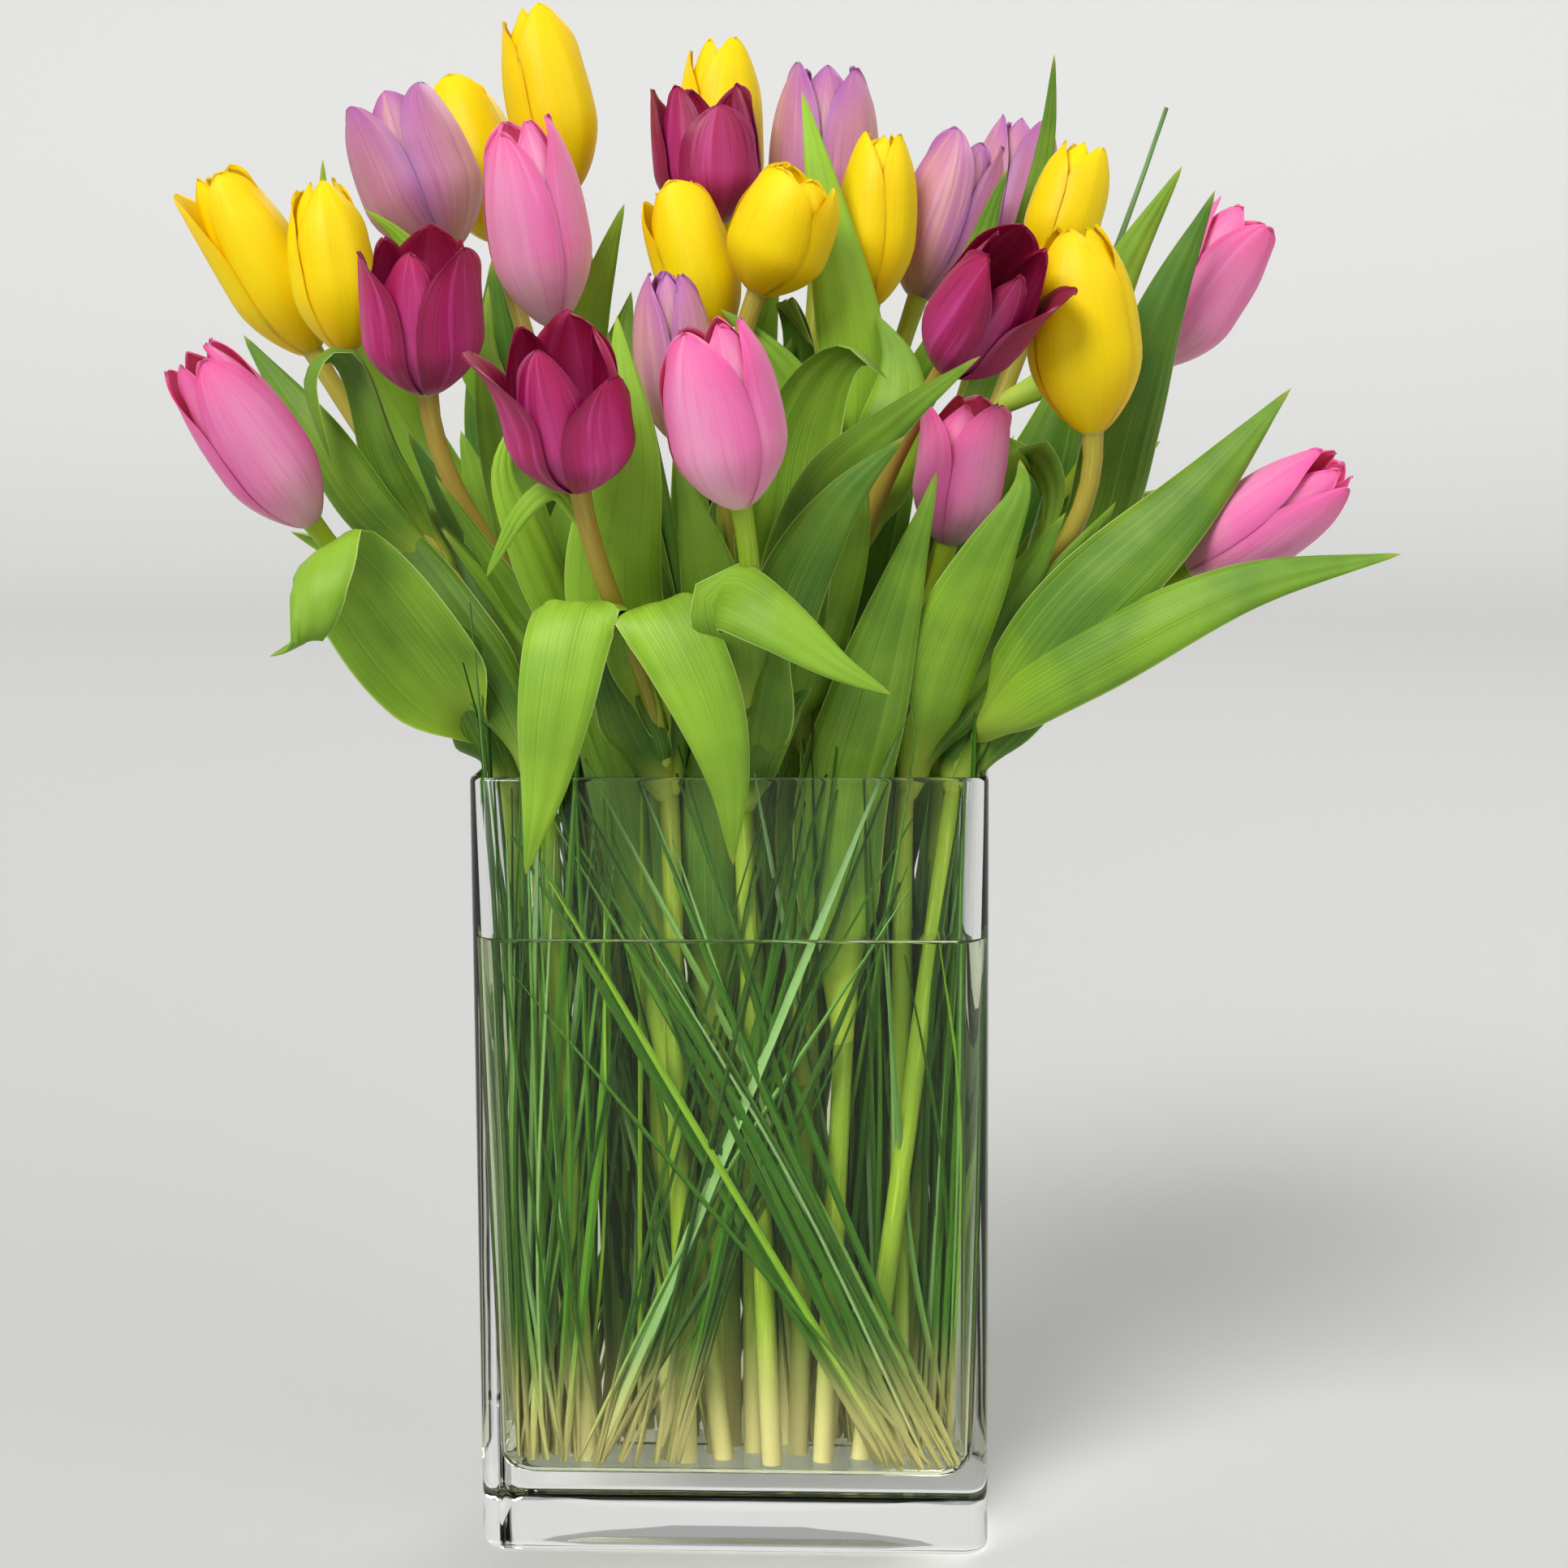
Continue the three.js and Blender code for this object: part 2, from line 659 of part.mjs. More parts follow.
// ---------------------------------------------------------------- blooms

// How far a petal stands from the bloom's axis at a share of its length.
function petalRadius(share, bulge, open) {
  if (share < PETAL.bulge) {
    const rise = Math.sin((Math.PI / 2) * (share / PETAL.bulge)) ** PETAL.swell;
    return mix(PETAL.base, bulge, rise);
  }
  const fall = ((share - PETAL.bulge) / (1 - PETAL.bulge)) ** 2;
  return bulge * mix(1, mix(PETAL.shutTip, PETAL.openTip, open), fall);
}

// Half the angle that a petal spans: full below, and round to a blunt point above.
function petalSpread(share, spread) {
  const rise = Math.max(0, (share - PETAL.shoulder) / (1 - PETAL.shoulder));
  return spread * (1 - rise ** 2) ** PETAL.round;
}

function petalSolid(frame, length, { bulge, inset, open, spread, turn, shares }) {
  const rings = shares.map((share) => {
    const radius = petalRadius(share, bulge, open) - inset;
    const half = petalSpread(share, spread);
    const row = (offset) =>
      [-1, 0, 1].map((place) => {
        const angle = THREE.MathUtils.degToRad(turn + place * half);
        const reach = radius + offset;
        const corner = new THREE.Vector3(reach * Math.cos(angle), reach * Math.sin(angle), share * length);
        return corner.applyMatrix4(frame);
      });
    return [...row(0), ...row(-BLADE).reverse()];
  });
  return solid(loft(rings));
}

function bloomSolid(tulip) {
  const base = vector(tulip.base);
  const axis = vector(tulip.tip).sub(base);
  const length = axis.length();
  axis.normalize();
  const frame = new THREE.Matrix4()
    .makeRotationFromQuaternion(new THREE.Quaternion().setFromUnitVectors(new THREE.Vector3(0, 0, 1), axis))
    .setPosition(base);
  const bulge = tulip.width / 2;
  const brim = petalRadius(CUP.top, bulge, tulip.open) + CUP.lip;
  const cup = [
    roundRing(base, axis, PETAL.base, CUP.sides),
    roundRing(base.clone().addScaledVector(axis, CUP.top * length), axis, brim, CUP.sides),
  ];
  const pieces = [solid(loft(cup))];
  for (let k = 0; k < 3; k++) {
    const turn = tulip.turn + 120 * k;
    const open = tulip.open + (tulip.wild === k ? PETAL.wild : 0);
    const outer = { bulge, inset: 0, open, spread: PETAL.spread, turn, shares: OUTER_RINGS };
    const inner = {
      bulge,
      inset: PETAL.innerInset,
      open: tulip.open * PETAL.innerOpen,
      spread: PETAL.innerSpread,
      turn: turn + 60,
      shares: INNER_RINGS,
    };
    pieces.push(petalSolid(frame, length, outer), petalSolid(frame, length * PETAL.innerShare, inner));
  }
  return joined(pieces);
}

// ---------------------------------------------------------------- bear grass

// Park and Miller's generator: the same draws on every machine.
function draws(seed) {
  let state = seed;
  return (low, high) => {
    state = (state * 16807) % 2147483647;
    return low + (high - low) * (state / 2147483647);
  };
}

// The least distance between two straight pieces, each given by its two ends.
function segmentGap([a, b], [c, d]) {
  const u = b.clone().sub(a);
  const v = d.clone().sub(c);
  const w = a.clone().sub(c);
  const [uu, uv, vv, uw, vw] = [u.dot(u), u.dot(v), v.dot(v), u.dot(w), v.dot(w)];
  const even = uu * vv - uv * uv;
  const clamp = (value) => THREE.MathUtils.clamp(value, 0, 1);
  let s = even > 1e-9 ? clamp((uv * vw - vv * uw) / even) : 0;
  const t = clamp((uv * s + vw) / vv);
  s = clamp((uv * t - uw) / uu);
  return a.clone().addScaledVector(u, s).distanceTo(c.clone().addScaledVector(v, t));
}

// One bunch's blades as pairs of ends, drawn again wherever one would come too near what already stands.
function grassBlades(bunch, stems, others) {
  const draw = draws(bunch.seed);
  const root = vector([...bunch.root, GRASS_FOOT]);
  const blades = [];
  for (let tries = 0; blades.length < bunch.blades && tries < GRASS_TRIES; tries++) {
    const foot = vector(GRASS_SCATTER.map((most) => draw(-most, most))).add(root);
    const blade = [foot, vector([draw(...bunch.x), draw(...bunch.y), draw(...bunch.z)])];
    const clear =
      stems.every((stem) => segmentGap(blade, stem) > GRASS_CLEAR) &&
      others.every((other) => segmentGap(blade, other) > BUNCH_CLEAR);
    if (clear) blades.push(blade);
  }
  return blades;
}

// A thin four-sided blade along a line, flat to the front, which narrows to its end.
function bladeSolid(line, width, ease = 0) {
  const rings = line.map((centre, k) => {
    const next = line[Math.min(k + 1, line.length - 1)];
    const last = line[Math.max(k - 1, 0)];
    const tangent = next.clone().sub(last).normalize();
    const back = new THREE.Vector3(0, 1, 0).projectOnPlane(tangent).normalize();
    const side = new THREE.Vector3().crossVectors(tangent, back);
    const half = (width / 2) * mix(1, GRASS_TIP, k / (line.length - 1)) + ease;
    const thick = GRASS_THICK / 2 + ease;
    return [[-1, -1], [1, -1], [1, 1], [-1, 1]].map(([across, deep]) =>
      centre.clone().addScaledVector(side, across * half).addScaledVector(back, deep * thick),
    );
  });
  return solid(loft(rings));
}

// ---------------------------------------------------------------- the group

const finish = (colour, roughness = 0.55) => new THREE.MeshStandardMaterial({ color: colour, roughness });
const glass = new THREE.MeshStandardMaterial({
  color: 0xf2f6f6,
  roughness: 0.03,
  transparent: true,
  opacity: 0.25,
});
const water = new THREE.MeshStandardMaterial({
  color: 0xdfe8dc,
  roughness: 0.02,
  transparent: true,
  opacity: 0.35,
});
const leafGreen = finish(COLOURS.leaf, 0.45);
const grassGreen = finish(COLOURS.grass, 0.5);

const bunchOfTulips = new THREE.Group();
bunchOfTulips.add(meshOf("vase", vaseSolid(), glass));

const holes = TULIPS.map(stemHole);
for (const tulip of TULIPS) {
  const leaves = tulip.leaves.map((leaf) => leafSolid(tulip, leaf));
  const stem = joined([stemSolid(tulip), ...leaves]);
  bunchOfTulips.add(meshOf(`stem_${tulip.name}`, stem, leafGreen));
  bunchOfTulips.add(meshOf(`bloom_${tulip.name}`, bloomSolid(tulip), finish(COLOURS[tulip.colour])));
}

const stems = TULIPS.map((tulip) => [footOf(tulip), collarOf(tulip)]);
const [tallFoot, ...tallRest] = TALL_BLADE.points;
const tallLine = [vector([...tallFoot, GRASS_FOOT]), ...tallRest.map(vector)];
bunchOfTulips.add(meshOf(TALL_BLADE.name, bladeSolid(tallLine, TALL_BLADE.width), grassGreen));
holes.push(bladeSolid(tallLine.slice(0, 2), TALL_BLADE.width, HOLE_EASE));

const standing = [tallLine.slice(0, 2)];
for (const bunch of GRASS) {
  const blades = grassBlades(bunch, stems, standing);
  standing.push(...blades);
  const shape = joined(blades.map((blade) => bladeSolid(blade, bunch.width)));
  bunchOfTulips.add(meshOf(bunch.name, shape, grassGreen));
  holes.push(...blades.map((blade) => bladeSolid(blade, bunch.width, HOLE_EASE)));
}
bunchOfTulips.add(meshOf("water", waterSolid(holes), water));

export default bunchOfTulips;
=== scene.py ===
"""Tulips in a vase: the finished looks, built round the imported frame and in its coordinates.

Lengths are millimetres until a piece is done, when its mesh is scaled to metres. +Z is up, the origin is the
centre of the vase's foot, and the front of the bunch is -Y.
"""

import bisect
import functools
import math
import random
from typing import NamedTuple

import bmesh
import bpy
from bmesh.types import BMEdge, BMFace, BMVert
from mathutils import Matrix, Vector
from mathutils.geometry import interpolate_bezier


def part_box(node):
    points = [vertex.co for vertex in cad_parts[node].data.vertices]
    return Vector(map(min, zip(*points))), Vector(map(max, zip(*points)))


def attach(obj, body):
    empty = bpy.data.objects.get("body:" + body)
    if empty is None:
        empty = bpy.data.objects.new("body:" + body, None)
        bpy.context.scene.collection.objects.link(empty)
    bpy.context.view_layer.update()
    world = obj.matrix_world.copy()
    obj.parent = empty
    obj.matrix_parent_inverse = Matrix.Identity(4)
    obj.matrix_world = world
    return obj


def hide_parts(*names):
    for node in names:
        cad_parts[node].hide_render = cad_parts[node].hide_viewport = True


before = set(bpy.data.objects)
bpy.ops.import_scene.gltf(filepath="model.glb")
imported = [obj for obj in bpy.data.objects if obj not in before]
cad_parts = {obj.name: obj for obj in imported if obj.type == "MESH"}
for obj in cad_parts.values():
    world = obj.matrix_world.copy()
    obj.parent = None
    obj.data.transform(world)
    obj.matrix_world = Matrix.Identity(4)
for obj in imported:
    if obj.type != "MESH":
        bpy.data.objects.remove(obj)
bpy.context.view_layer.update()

MM = 0.001
FRONT = (0, -1, 0)
BACK = (0, 1, 0)
UP = Vector((0, 0, 1))

# ---------------- the tulips
# One row for each tulip, as in the frame: its name, the foot and tip of its bloom, how wide that bulges, how
# open it is from 0 (shut) to 1 (wide), and the angle of its first petal. collar is where the stem passes the
# vase's mouth, and foot is where it stands, unless that follows from the collar. wild is a petal that opens
# further than the rest, short a shorter one, and deep is how strong the petals' colour is, from 0 to 1. Each
# leaf leaves the stem at a share of its free length (below 0 is inside the vase) and runs through its points.


class Leaf(NamedTuple):
    at: float
    points: list
    width: float
    face: tuple = FRONT  # where its back is turned
    across: tuple = None  # or else the directions that its foot and its tip lie across
    tone: float = None  # 0 is light yellow-green, 1 is dark and bluish
    sheath: float = 0.25  # share of the leaf that wraps itself round the stem


class Tulip(NamedTuple):
    name: str
    base: tuple
    tip: tuple
    width: float
    open: float
    turn: float
    collar: tuple
    leaves: list
    foot: tuple = None
    wild: int = None
    short: int = None
    deep: float = 0.45

    @property
    def shade(self):
        return self.name.split("_")[0]


TULIPS = [
    Tulip("yellow_01", (-139, 20, 382), (-170, 16, 438), 30, 0.3, 175, collar=(-66, 4), wild=0, leaves=[
        Leaf(0.22, [(-76, 10, 300), (-82, 12, 330), (-90, 14, 356)], 22),
        Leaf(0.12, [(-86, 24, 275), (-116, 36, 304), (-152, 40, 322)], 29, face=(-0.3, 0.6, 0.7)),
    ]),
    Tulip("lilac_01", (-98, 45, 414), (-119, 55, 464), 41, 0.5, 95, collar=(-48, 15), deep=0.9, leaves=[
        Leaf(0.35, [(-90, 36, 325), (-122, 48, 372), (-138, 49, 417), (-139, 45, 445)], 20),
        Leaf(0.6, [(-82, 12, 374), (-95, 13, 402), (-108, 12, 418), (-119, 8, 427)], 14),
        Leaf(0.15, [(-74, 46, 280), (-104, 64, 312), (-138, 74, 338)], 29, face=(-0.3, 0.9, 0.5)),
        Leaf(0.2, [(-66, 26, 320), (-78, 26, 360), (-80, 24, 412)], 33, tone=0.9),
    ]),
    Tulip("yellow_02", (-123, -4, 382), (-132, 0, 435), 28, 0.2, 170, collar=(-58, -28), leaves=[
        Leaf(0.5, [(-112, -22, 330), (-130, -19, 355), (-145, -14, 374), (-155, -11, 387)], 18),
        Leaf(0.5, [(-108, -25, 345), (-119, -29, 378), (-129, -33, 372), (-122, -38, 346)], 23,
             across=((0.8, -0.5, 0.3), (0.3, -1, 0.1))),
    ]),
    Tulip("burgundy_01", (-91, -45, 369), (-91, -60, 414), 38, 0.75, 85, collar=(-30, -19), foot=(-4, -20),
          leaves=[
        Leaf(0.3, [(-62, -45, 325), (-68, -48, 345), (-64, -46, 362)], 15, face=(0.4, -1, 0)),
        Leaf(0.2, [(-56, -22, 296), (-71, -17, 345), (-77, -12, 377), (-77, -8, 402)], 19),
    ]),
    Tulip("yellow_03", (-59, 60, 435), (-72, 68, 494), 30, 0.3, 180, collar=(-27, 19), leaves=[
        Leaf(0.35, [(-41, 57, 322), (-48, 82, 362), (-42, 96, 402)], 29, face=BACK),
    ]),
    Tulip("yellow_04", (-87, 85, 420), (-103, 98, 473), 32, 0.3, 30, collar=(-40, 29), leaves=[
        Leaf(0.12, [(-58, 62, 285), (-82, 94, 330), (-102, 110, 374)], 30, face=(-0.3, 1, 0)),
        Leaf(0.2, [(-38, 66, 290), (-38, 92, 300), (-40, 104, 270), (-42, 100, 232)], 29,
             across=((-1, 0, 0), (-1, 0, 0))),
    ]),
    Tulip("pink_01", (-56, -10, 390), (-65, -20, 452), 33, 0.3, 0, collar=(-27, -4), leaves=[
        Leaf(0.7, [(-50, 4, 368), (-47, 10, 392), (-41, 10, 412), (-35, 8, 428)], 15),
        Leaf(0.2, [(-42, -13, 285), (-50, -17, 312), (-48, -18, 338), (-45, -14, 354)], 24),
    ]),
    Tulip("pink_02", (-127, -50, 330), (-157, -75, 381), 30, 0.35, 175, collar=(-71, -15), deep=0.9, leaves=[
        Leaf(0.2, [(-84, -33, 268), (-98, -50, 290), (-117, -62, 318), (-120, -74, 312), (-124, -77, 298),
                   (-137, -70, 290)],
             38, across=((0.84, 0, 0.54), (0.84, 0, 0.54)), tone=0.4),
    ]),
    Tulip("burgundy_02", (-40, -85, 341), (-45, -105, 386), 39, 0.8, 80, collar=(-19, -30), wild=1, short=2,
          deep=0, leaves=[
        Leaf(0.85, [(-47, -76, 340), (-58, -76, 334), (-70, -72, 314)], 7, face=(0, -1, 0.4), tone=0.2),
        Leaf(0.12, [(-34, -48, 305), (-29, -54, 352), (-32, -50, 392)], 31),
        Leaf(0.25, [(-34, -56, 292), (-43, -70, 302), (-49, -78, 276), (-54, -72, 249), (-61, -62, 222)], 27,
             across=((1, 0, 0), (1, 0, 0)), tone=0.15),
        Leaf(0.2, [(-24, -56, 288), (-18, -72, 302), (-5, -80, 281), (2, -74, 255), (3, -62, 225)], 27,
             across=((0.9, 0, 0.4), (1, 0, 0)), tone=0.3),
    ]),
    Tulip("pink_03", (8, -90, 336), (-1, -102, 388), 36, 0.35, 5, collar=(4, -31), foot=(12, -27), leaves=[
        Leaf(0.2, [(0, -50, 285), (-4, -55, 312), (-9, -57, 332), (-13, -55, 348)], 22),
        Leaf(0.3, [(5, -68, 292), (4, -86, 308), (16, -97, 304), (36, -100, 290), (52, -96, 281)], 24,
             face=(0, -1, 0.4), tone=0.5),
        Leaf(0.25, [(14, -60, 290), (23, -71, 314), (38, -78, 338), (56, -81, 356)], 23, face=(0.3, -1, 0.2)),
        Leaf(0.02, [(10, -42, 258), (20, -50, 272), (27, -54, 279)], 16),
    ]),
    Tulip("lilac_02", (-15, -24, 354), (-19, -28, 405), 26, 0.2, 95, collar=(-8, -14), deep=0.1, leaves=[
        Leaf(-0.35, [(-8, -24, 228), (-5, -33, 262), (6, -38, 290)], 19, tone=0.8),
    ]),
    Tulip("yellow_05", (-5, 0, 385), (-20, 5, 432), 27, 0.55, 40, collar=(-3, -1), leaves=[
        Leaf(0.2, [(0, 4, 310), (8, 8, 345), (18, 8, 385)], 27, tone=0.9),
    ]),
    Tulip("yellow_06", (9, -20, 399), (24, -25, 434), 33, 0.45, 0, collar=(6, -10), leaves=[
        Leaf(0.35, [(16, -25, 325), (21, -27, 350), (29, -31, 370), (39, -38, 379), (50, -46, 372)], 30,
             across=((1, 0, -0.2), (0.75, 0.25, -0.6))),
        Leaf(0.6, [(26, -12, 352), (19, -13, 371), (8, -15, 385), (-3, -14, 394)], 16),
    ]),
    Tulip("burgundy_03", (-8, 30, 422), (-12, 32, 467), 36, 0.7, 50, collar=(-6, 11), short=2, deep=0.9,
          leaves=[
        Leaf(0.5, [(-4, 36, 350), (4, 44, 380), (12, 46, 404)], 22, face=BACK),
    ]),
    Tulip("yellow_07", (-9, 75, 419), (-10, 85, 484), 30, 0.4, 65, collar=(-5, 27), leaves=[
        Leaf(0.08, [(-8, 54, 280), (-14, 84, 320), (-20, 104, 362), (-22, 112, 396)], 31, face=BACK),
        Leaf(0.35, [(6, 66, 320), (16, 88, 350), (30, 102, 384)], 27, face=BACK),
    ]),
    Tulip("lilac_03", (25, 55, 416), (28, 62, 475), 37, 0.35, 90, collar=(12, 20), leaves=[
        Leaf(0.15, [(24, 50, 285), (34, 72, 325), (40, 84, 366)], 29, face=BACK),
    ]),
    Tulip("yellow_08", (43, 15, 396), (47, 18, 449), 26, 0.25, 100, collar=(19, 3), leaves=[
        Leaf(0.5, [(36, 0, 340), (38, -2, 379), (30, -2, 425), (22, 2, 462)], 23,
             face=(0.3, -1, 0), tone=0.1),
        Leaf(0.4, [(23, 6, 345), (20, 8, 384), (17, 0, 396), (26, -8, 382)], 16,
             across=((1, 0, 0), (0.6, -0.6, 0.5))),
    ]),
    Tulip("lilac_04", (58, 35, 398), (76, 42, 449), 33, 0.35, 355, collar=(28, 13), leaves=[
        Leaf(0.75, [(68, 14, 384), (77, 12, 409), (82, 10, 425), (87, 8, 438)], 14),
    ]),
    Tulip("lilac_05", (85, 85, 409), (94, 98, 458), 30, 0.35, 80, collar=(40, 29), leaves=[
        Leaf(0.6, [(84, 60, 380), (96, 62, 427), (101, 62, 453), (103, 62, 478)], 12),
        Leaf(0.1, [(54, 63, 280), (76, 92, 310), (106, 108, 330), (132, 118, 336)], 31, face=(0.3, 0.9, 0.5)),
        Leaf(0.25, [(52, 68, 296), (52, 92, 302), (51, 102, 270), (48, 98, 236)], 27,
             across=((-1, 0, 0), (-1, 0, 0))),
    ]),
    Tulip("yellow_09", (100, 38, 406), (113, 46, 447), 25, 0.35, 75, collar=(48, 13), leaves=[
        Leaf(0.75, [(110, 26, 378), (126, 25, 410), (143, 23, 439)], 15),
        Leaf(0.15, [(74, 50, 286), (106, 66, 320), (140, 76, 350)], 29, face=(0.3, 0.9, 0.3)),
        Leaf(0.2, [(78, 20, 308), (98, 20, 342), (111, 18, 386)], 32, tone=0.85),
    ]),
    Tulip("burgundy_04", (68, -50, 376), (90, -84, 408), 33, 0.55, 340, collar=(24, -14), wild=0, deep=0.7,
          leaves=[
        Leaf(0.08, [(20, -42, 300), (31, -57, 338), (53, -72, 360), (78, -86, 379)], 23, face=(0, -1, 0.4)),
        Leaf(0.15, [(20, -28, 270), (27, -37, 295), (38, -42, 325), (43, -42, 350)], 23),
        Leaf(0.55, [(50, -14, 354), (53, -8, 375), (46, -3, 392)], 23),
    ]),
    Tulip("yellow_10", (112, -50, 356), (106, -54, 416), 35, 0.15, 20, collar=(54, -16), foot=(52, -6),
          leaves=[
        Leaf(0.06, [(65, -42, 284), (80, -59, 318), (90, -62, 338), (90, -53, 348)], 26, face=(0.2, -1, 0)),
    ]),
    Tulip("pink_04", (134, 5, 377), (163, 0, 423), 30, 0.5, 60, collar=(65, 2), deep=0.8, leaves=[
        Leaf(0.4, [(82, -6, 315), (86, -10, 340), (93, -14, 350), (101, -18, 338), (97, -22, 315)], 17,
             across=((0.8, -0.7, 0), (0.9, -0.5, -0.3)), tone=0.5),
        Leaf(0.3, [(92, -8, 295), (102, -14, 318), (113, -16, 335), (124, -12, 343)], 24),
        Leaf(0.5, [(112, -14, 320), (123, -21, 358), (134, -24, 393), (150, -25, 429)], 24,
             face=(0.2, -1, 0.2)),
        Leaf(0.25, [(92, 22, 296), (122, 34, 324), (158, 38, 338)], 27, face=(0.2, 0.6, 0.7)),
    ]),
    Tulip("pink_05", (68, -35, 322), (76, -42, 366), 28, 0.6, 75, collar=(39, -24), foot=(28, -22), wild=1,
          deep=0.95, leaves=[
        Leaf(-0.35, [(34, -29, 232), (44, -44, 275), (55, -58, 312), (62, -62, 334), (65, -59, 345)], 30,
             face=(0.1, -1, 0.2), tone=0.65),
    ]),
    Tulip("pink_06", (143, -40, 314), (185, -60, 345), 29, 0.3, 75, collar=(69, -20), foot=(40, -17),
          deep=0.85, leaves=[
        Leaf(0.23, [(88, -44, 276), (108, -56, 303), (138, -58, 332), (171, -56, 369)], 29,
             face=(-0.1, -1, 0.2), tone=0.75),
        Leaf(0.26, [(86, -45, 270), (109, -60, 286), (156, -68, 310), (203, -68, 320)], 22,
             face=(0, -1, 0.3), tone=0.6),
    ]),
]

class Bunch(NamedTuple):
    """Bear grass that stands on a stretch of the floor round its root."""

    name: str
    root: tuple
    ends: tuple  # the box of places for the blades' ends
    blades: int
    width: float
    seed: int
    spread: float  # how far to each side of the root the blades stand
    broad: int = 0  # its first few blades are broad
    crossing: tuple = None  # the two ends of one broad pale blade
    over: tuple = None  # the box for the ends of a few blades that rise past the vase's mouth


GRASS = [
    Bunch(
        "grass_left_diagonal", (60, -36), ((-74, -10), (-40, -37), (185, 262)), 24, 2.8, seed=11, spread=15,
        broad=5,
    ),
    Bunch(
        "grass_right_diagonal", (-34, -33), ((8, 72), (-38, -34), (200, 266)), 18, 2.6, seed=23, spread=18,
        crossing=((-45, -33.5, 27), (57, -40, 272)),
    ),
    Bunch(
        "grass_left", (-60, -22), ((-75, -30), (-38, -10), (185, 250)), 70, 2.6, seed=5, spread=18,
        over=((-86, -46), (-44, -26), (262, 305)),
    ),
    Bunch(
        "grass_right", (60, 0), ((30, 76), (-38, 38), (185, 250)), 90, 2.6, seed=31, spread=19,
        over=((66, 104), (-30, 6), (268, 345)),
    ),
    Bunch(
        "grass_middle", (4, 4), ((-60, 60), (-38, 34), (190, 244)), 100, 2.4, seed=47, spread=50,
        over=((-56, 56), (-42, -20), (256, 285)),
    ),
    Bunch("grass_back_left", (-40, 30), ((-74, 40), (30, 40), (200, 262)), 80, 3.2, seed=61, spread=40),
]
OVER_EVERY = 5  # one blade in so many rises past the mouth, where the bunch has such blades
BROAD = (3.2, 0.3)  # width and tone
CROSSING = (4.6, 0.8)
TALL = (4.6, 0.77)
TALL_BLADE = [(54, 32, 29), (64, 22, 235), (140, 60, 460)]

# ---------------- driving dimensions


def top_corner(node):
    """A node's highest corner in millimetres."""
    return Vector(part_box(node)[1]) / MM


HALF_WIDTH, HALF_DEPTH, HEIGHT = top_corner("vase")
WATER_LEVEL = top_corner("water").z
CORNER = 7  # radius of the vase's upright edges
CORNER_STEPS = 9
RIM_WALL = 3
FOOT_WALL = 6.5  # the walls thicken on their way down
FLOOR = 24  # thickness of the solid glass base
FOOT_ROUND = 4
CAVITY_ROUND = 8
WALL_HEIGHTS = (60, 120, 180)
HOLLOW = [(1.6, 22, 9, 5), (1.3, 44, 20, 8), (0.6, 60, 30, 8), (0, 68, 36, 6)]  # rings under the base
DOME = ((14, 0.5), (22, 1.2), (30, 1.6))  # the cavity's floor: how far in from its walls, and how high
WETTING = 0.2  # how far the water reaches into the glass
WATER_EDGE = ((-WETTING, 1.8), (0.5, 0.9), (1.5, 0.35), (3.5, 0))  # distance from the glass, and climb

STEM_RADIUS = 3.2
STEM_FOOT = FLOOR + 0.6
COLLAR = 235
FOOT_PULL = 0.82  # where a stem stands, as a share of its place in the vase's mouth
STEM_REACH = 0.35
TAN = {"yellow": 0.7, "pink": 0, "lilac": 0.3, "burgundy": 0.85}  # how brown a stem is under its bloom
STEM_SIDES = 14
STEM_RINGS = 46

LEAF_THICK = 0.6
LEAF_ACROSS = 14
LEAF_STEP = 3.5  # length of one row of a leaf's mesh
LEAF_CURL = 0.56  # how far half a leaf curls, in radians
CLASP_CURL = 2.6  # the most that it curls where it clasps the stem
CLASP = 7.5  # the most of half its width there
LOW_LEAVES = 4
LOW_PLACES = (52, 24)  # stems within these start their low leaves inside the vase

PETAL_THICK = 0.6
PETAL_ACROSS = 14
PETAL_ALONG = 28
PETAL_BASE = 3.6
PETAL_BULGE = 0.4  # height of the widest place, as a share of the bloom's length
SHORT_PETAL = 0.8
WILD_OPEN = 0.45  # how much further a wild petal opens
INNER_OPEN = 0.7
INNER_INSET = 1.9
RIB_DEPTH = 0.65
RIB_WIDTH = 0.12
EDGE_WAVE = 0.85
SPREAD = {"yellow": 64, "pink": 63, "lilac": 60, "burgundy": 53}  # half the angle that a petal spans
BLUNT = {"yellow": 0.95, "pink": 0.85, "lilac": 0.85, "burgundy": 0.5}  # how round the petals end

BLADE_THICK = 0.35
BLADE_FOLD = 0.25
FLOOR_X = 70  # how far from the middle of the floor blades stand
FLOOR_Y = 35
TRIES = 40  # places tried for each blade, since it keeps clear of the stems

# ---------------- lines and frames


def mix(a, b, share):
    return a + (b - a) * share


def clamp(value, low=0, high=1):
    return min(max(value, low), high)


def smooth(low, high, value):
    """Rises from 0 at low to 1 at high, level at both ends."""
    share = clamp((value - low) / (high - low))
    return share * share * (3 - 2 * share)


def turns(angle, steps):
    """Angles from 0 to an angle in degrees, in equal steps."""
    return [math.radians(angle * k / steps) for k in range(steps + 1)]


def around(turn, radius, height=0):
    """A place at an angle and a distance from the upright axis."""
    return Vector((radius * math.cos(turn), radius * math.sin(turn), height))


def squared(hint, way):
    """The part of a direction that is square to another."""
    return (hint - hint.project(way)).normalized()


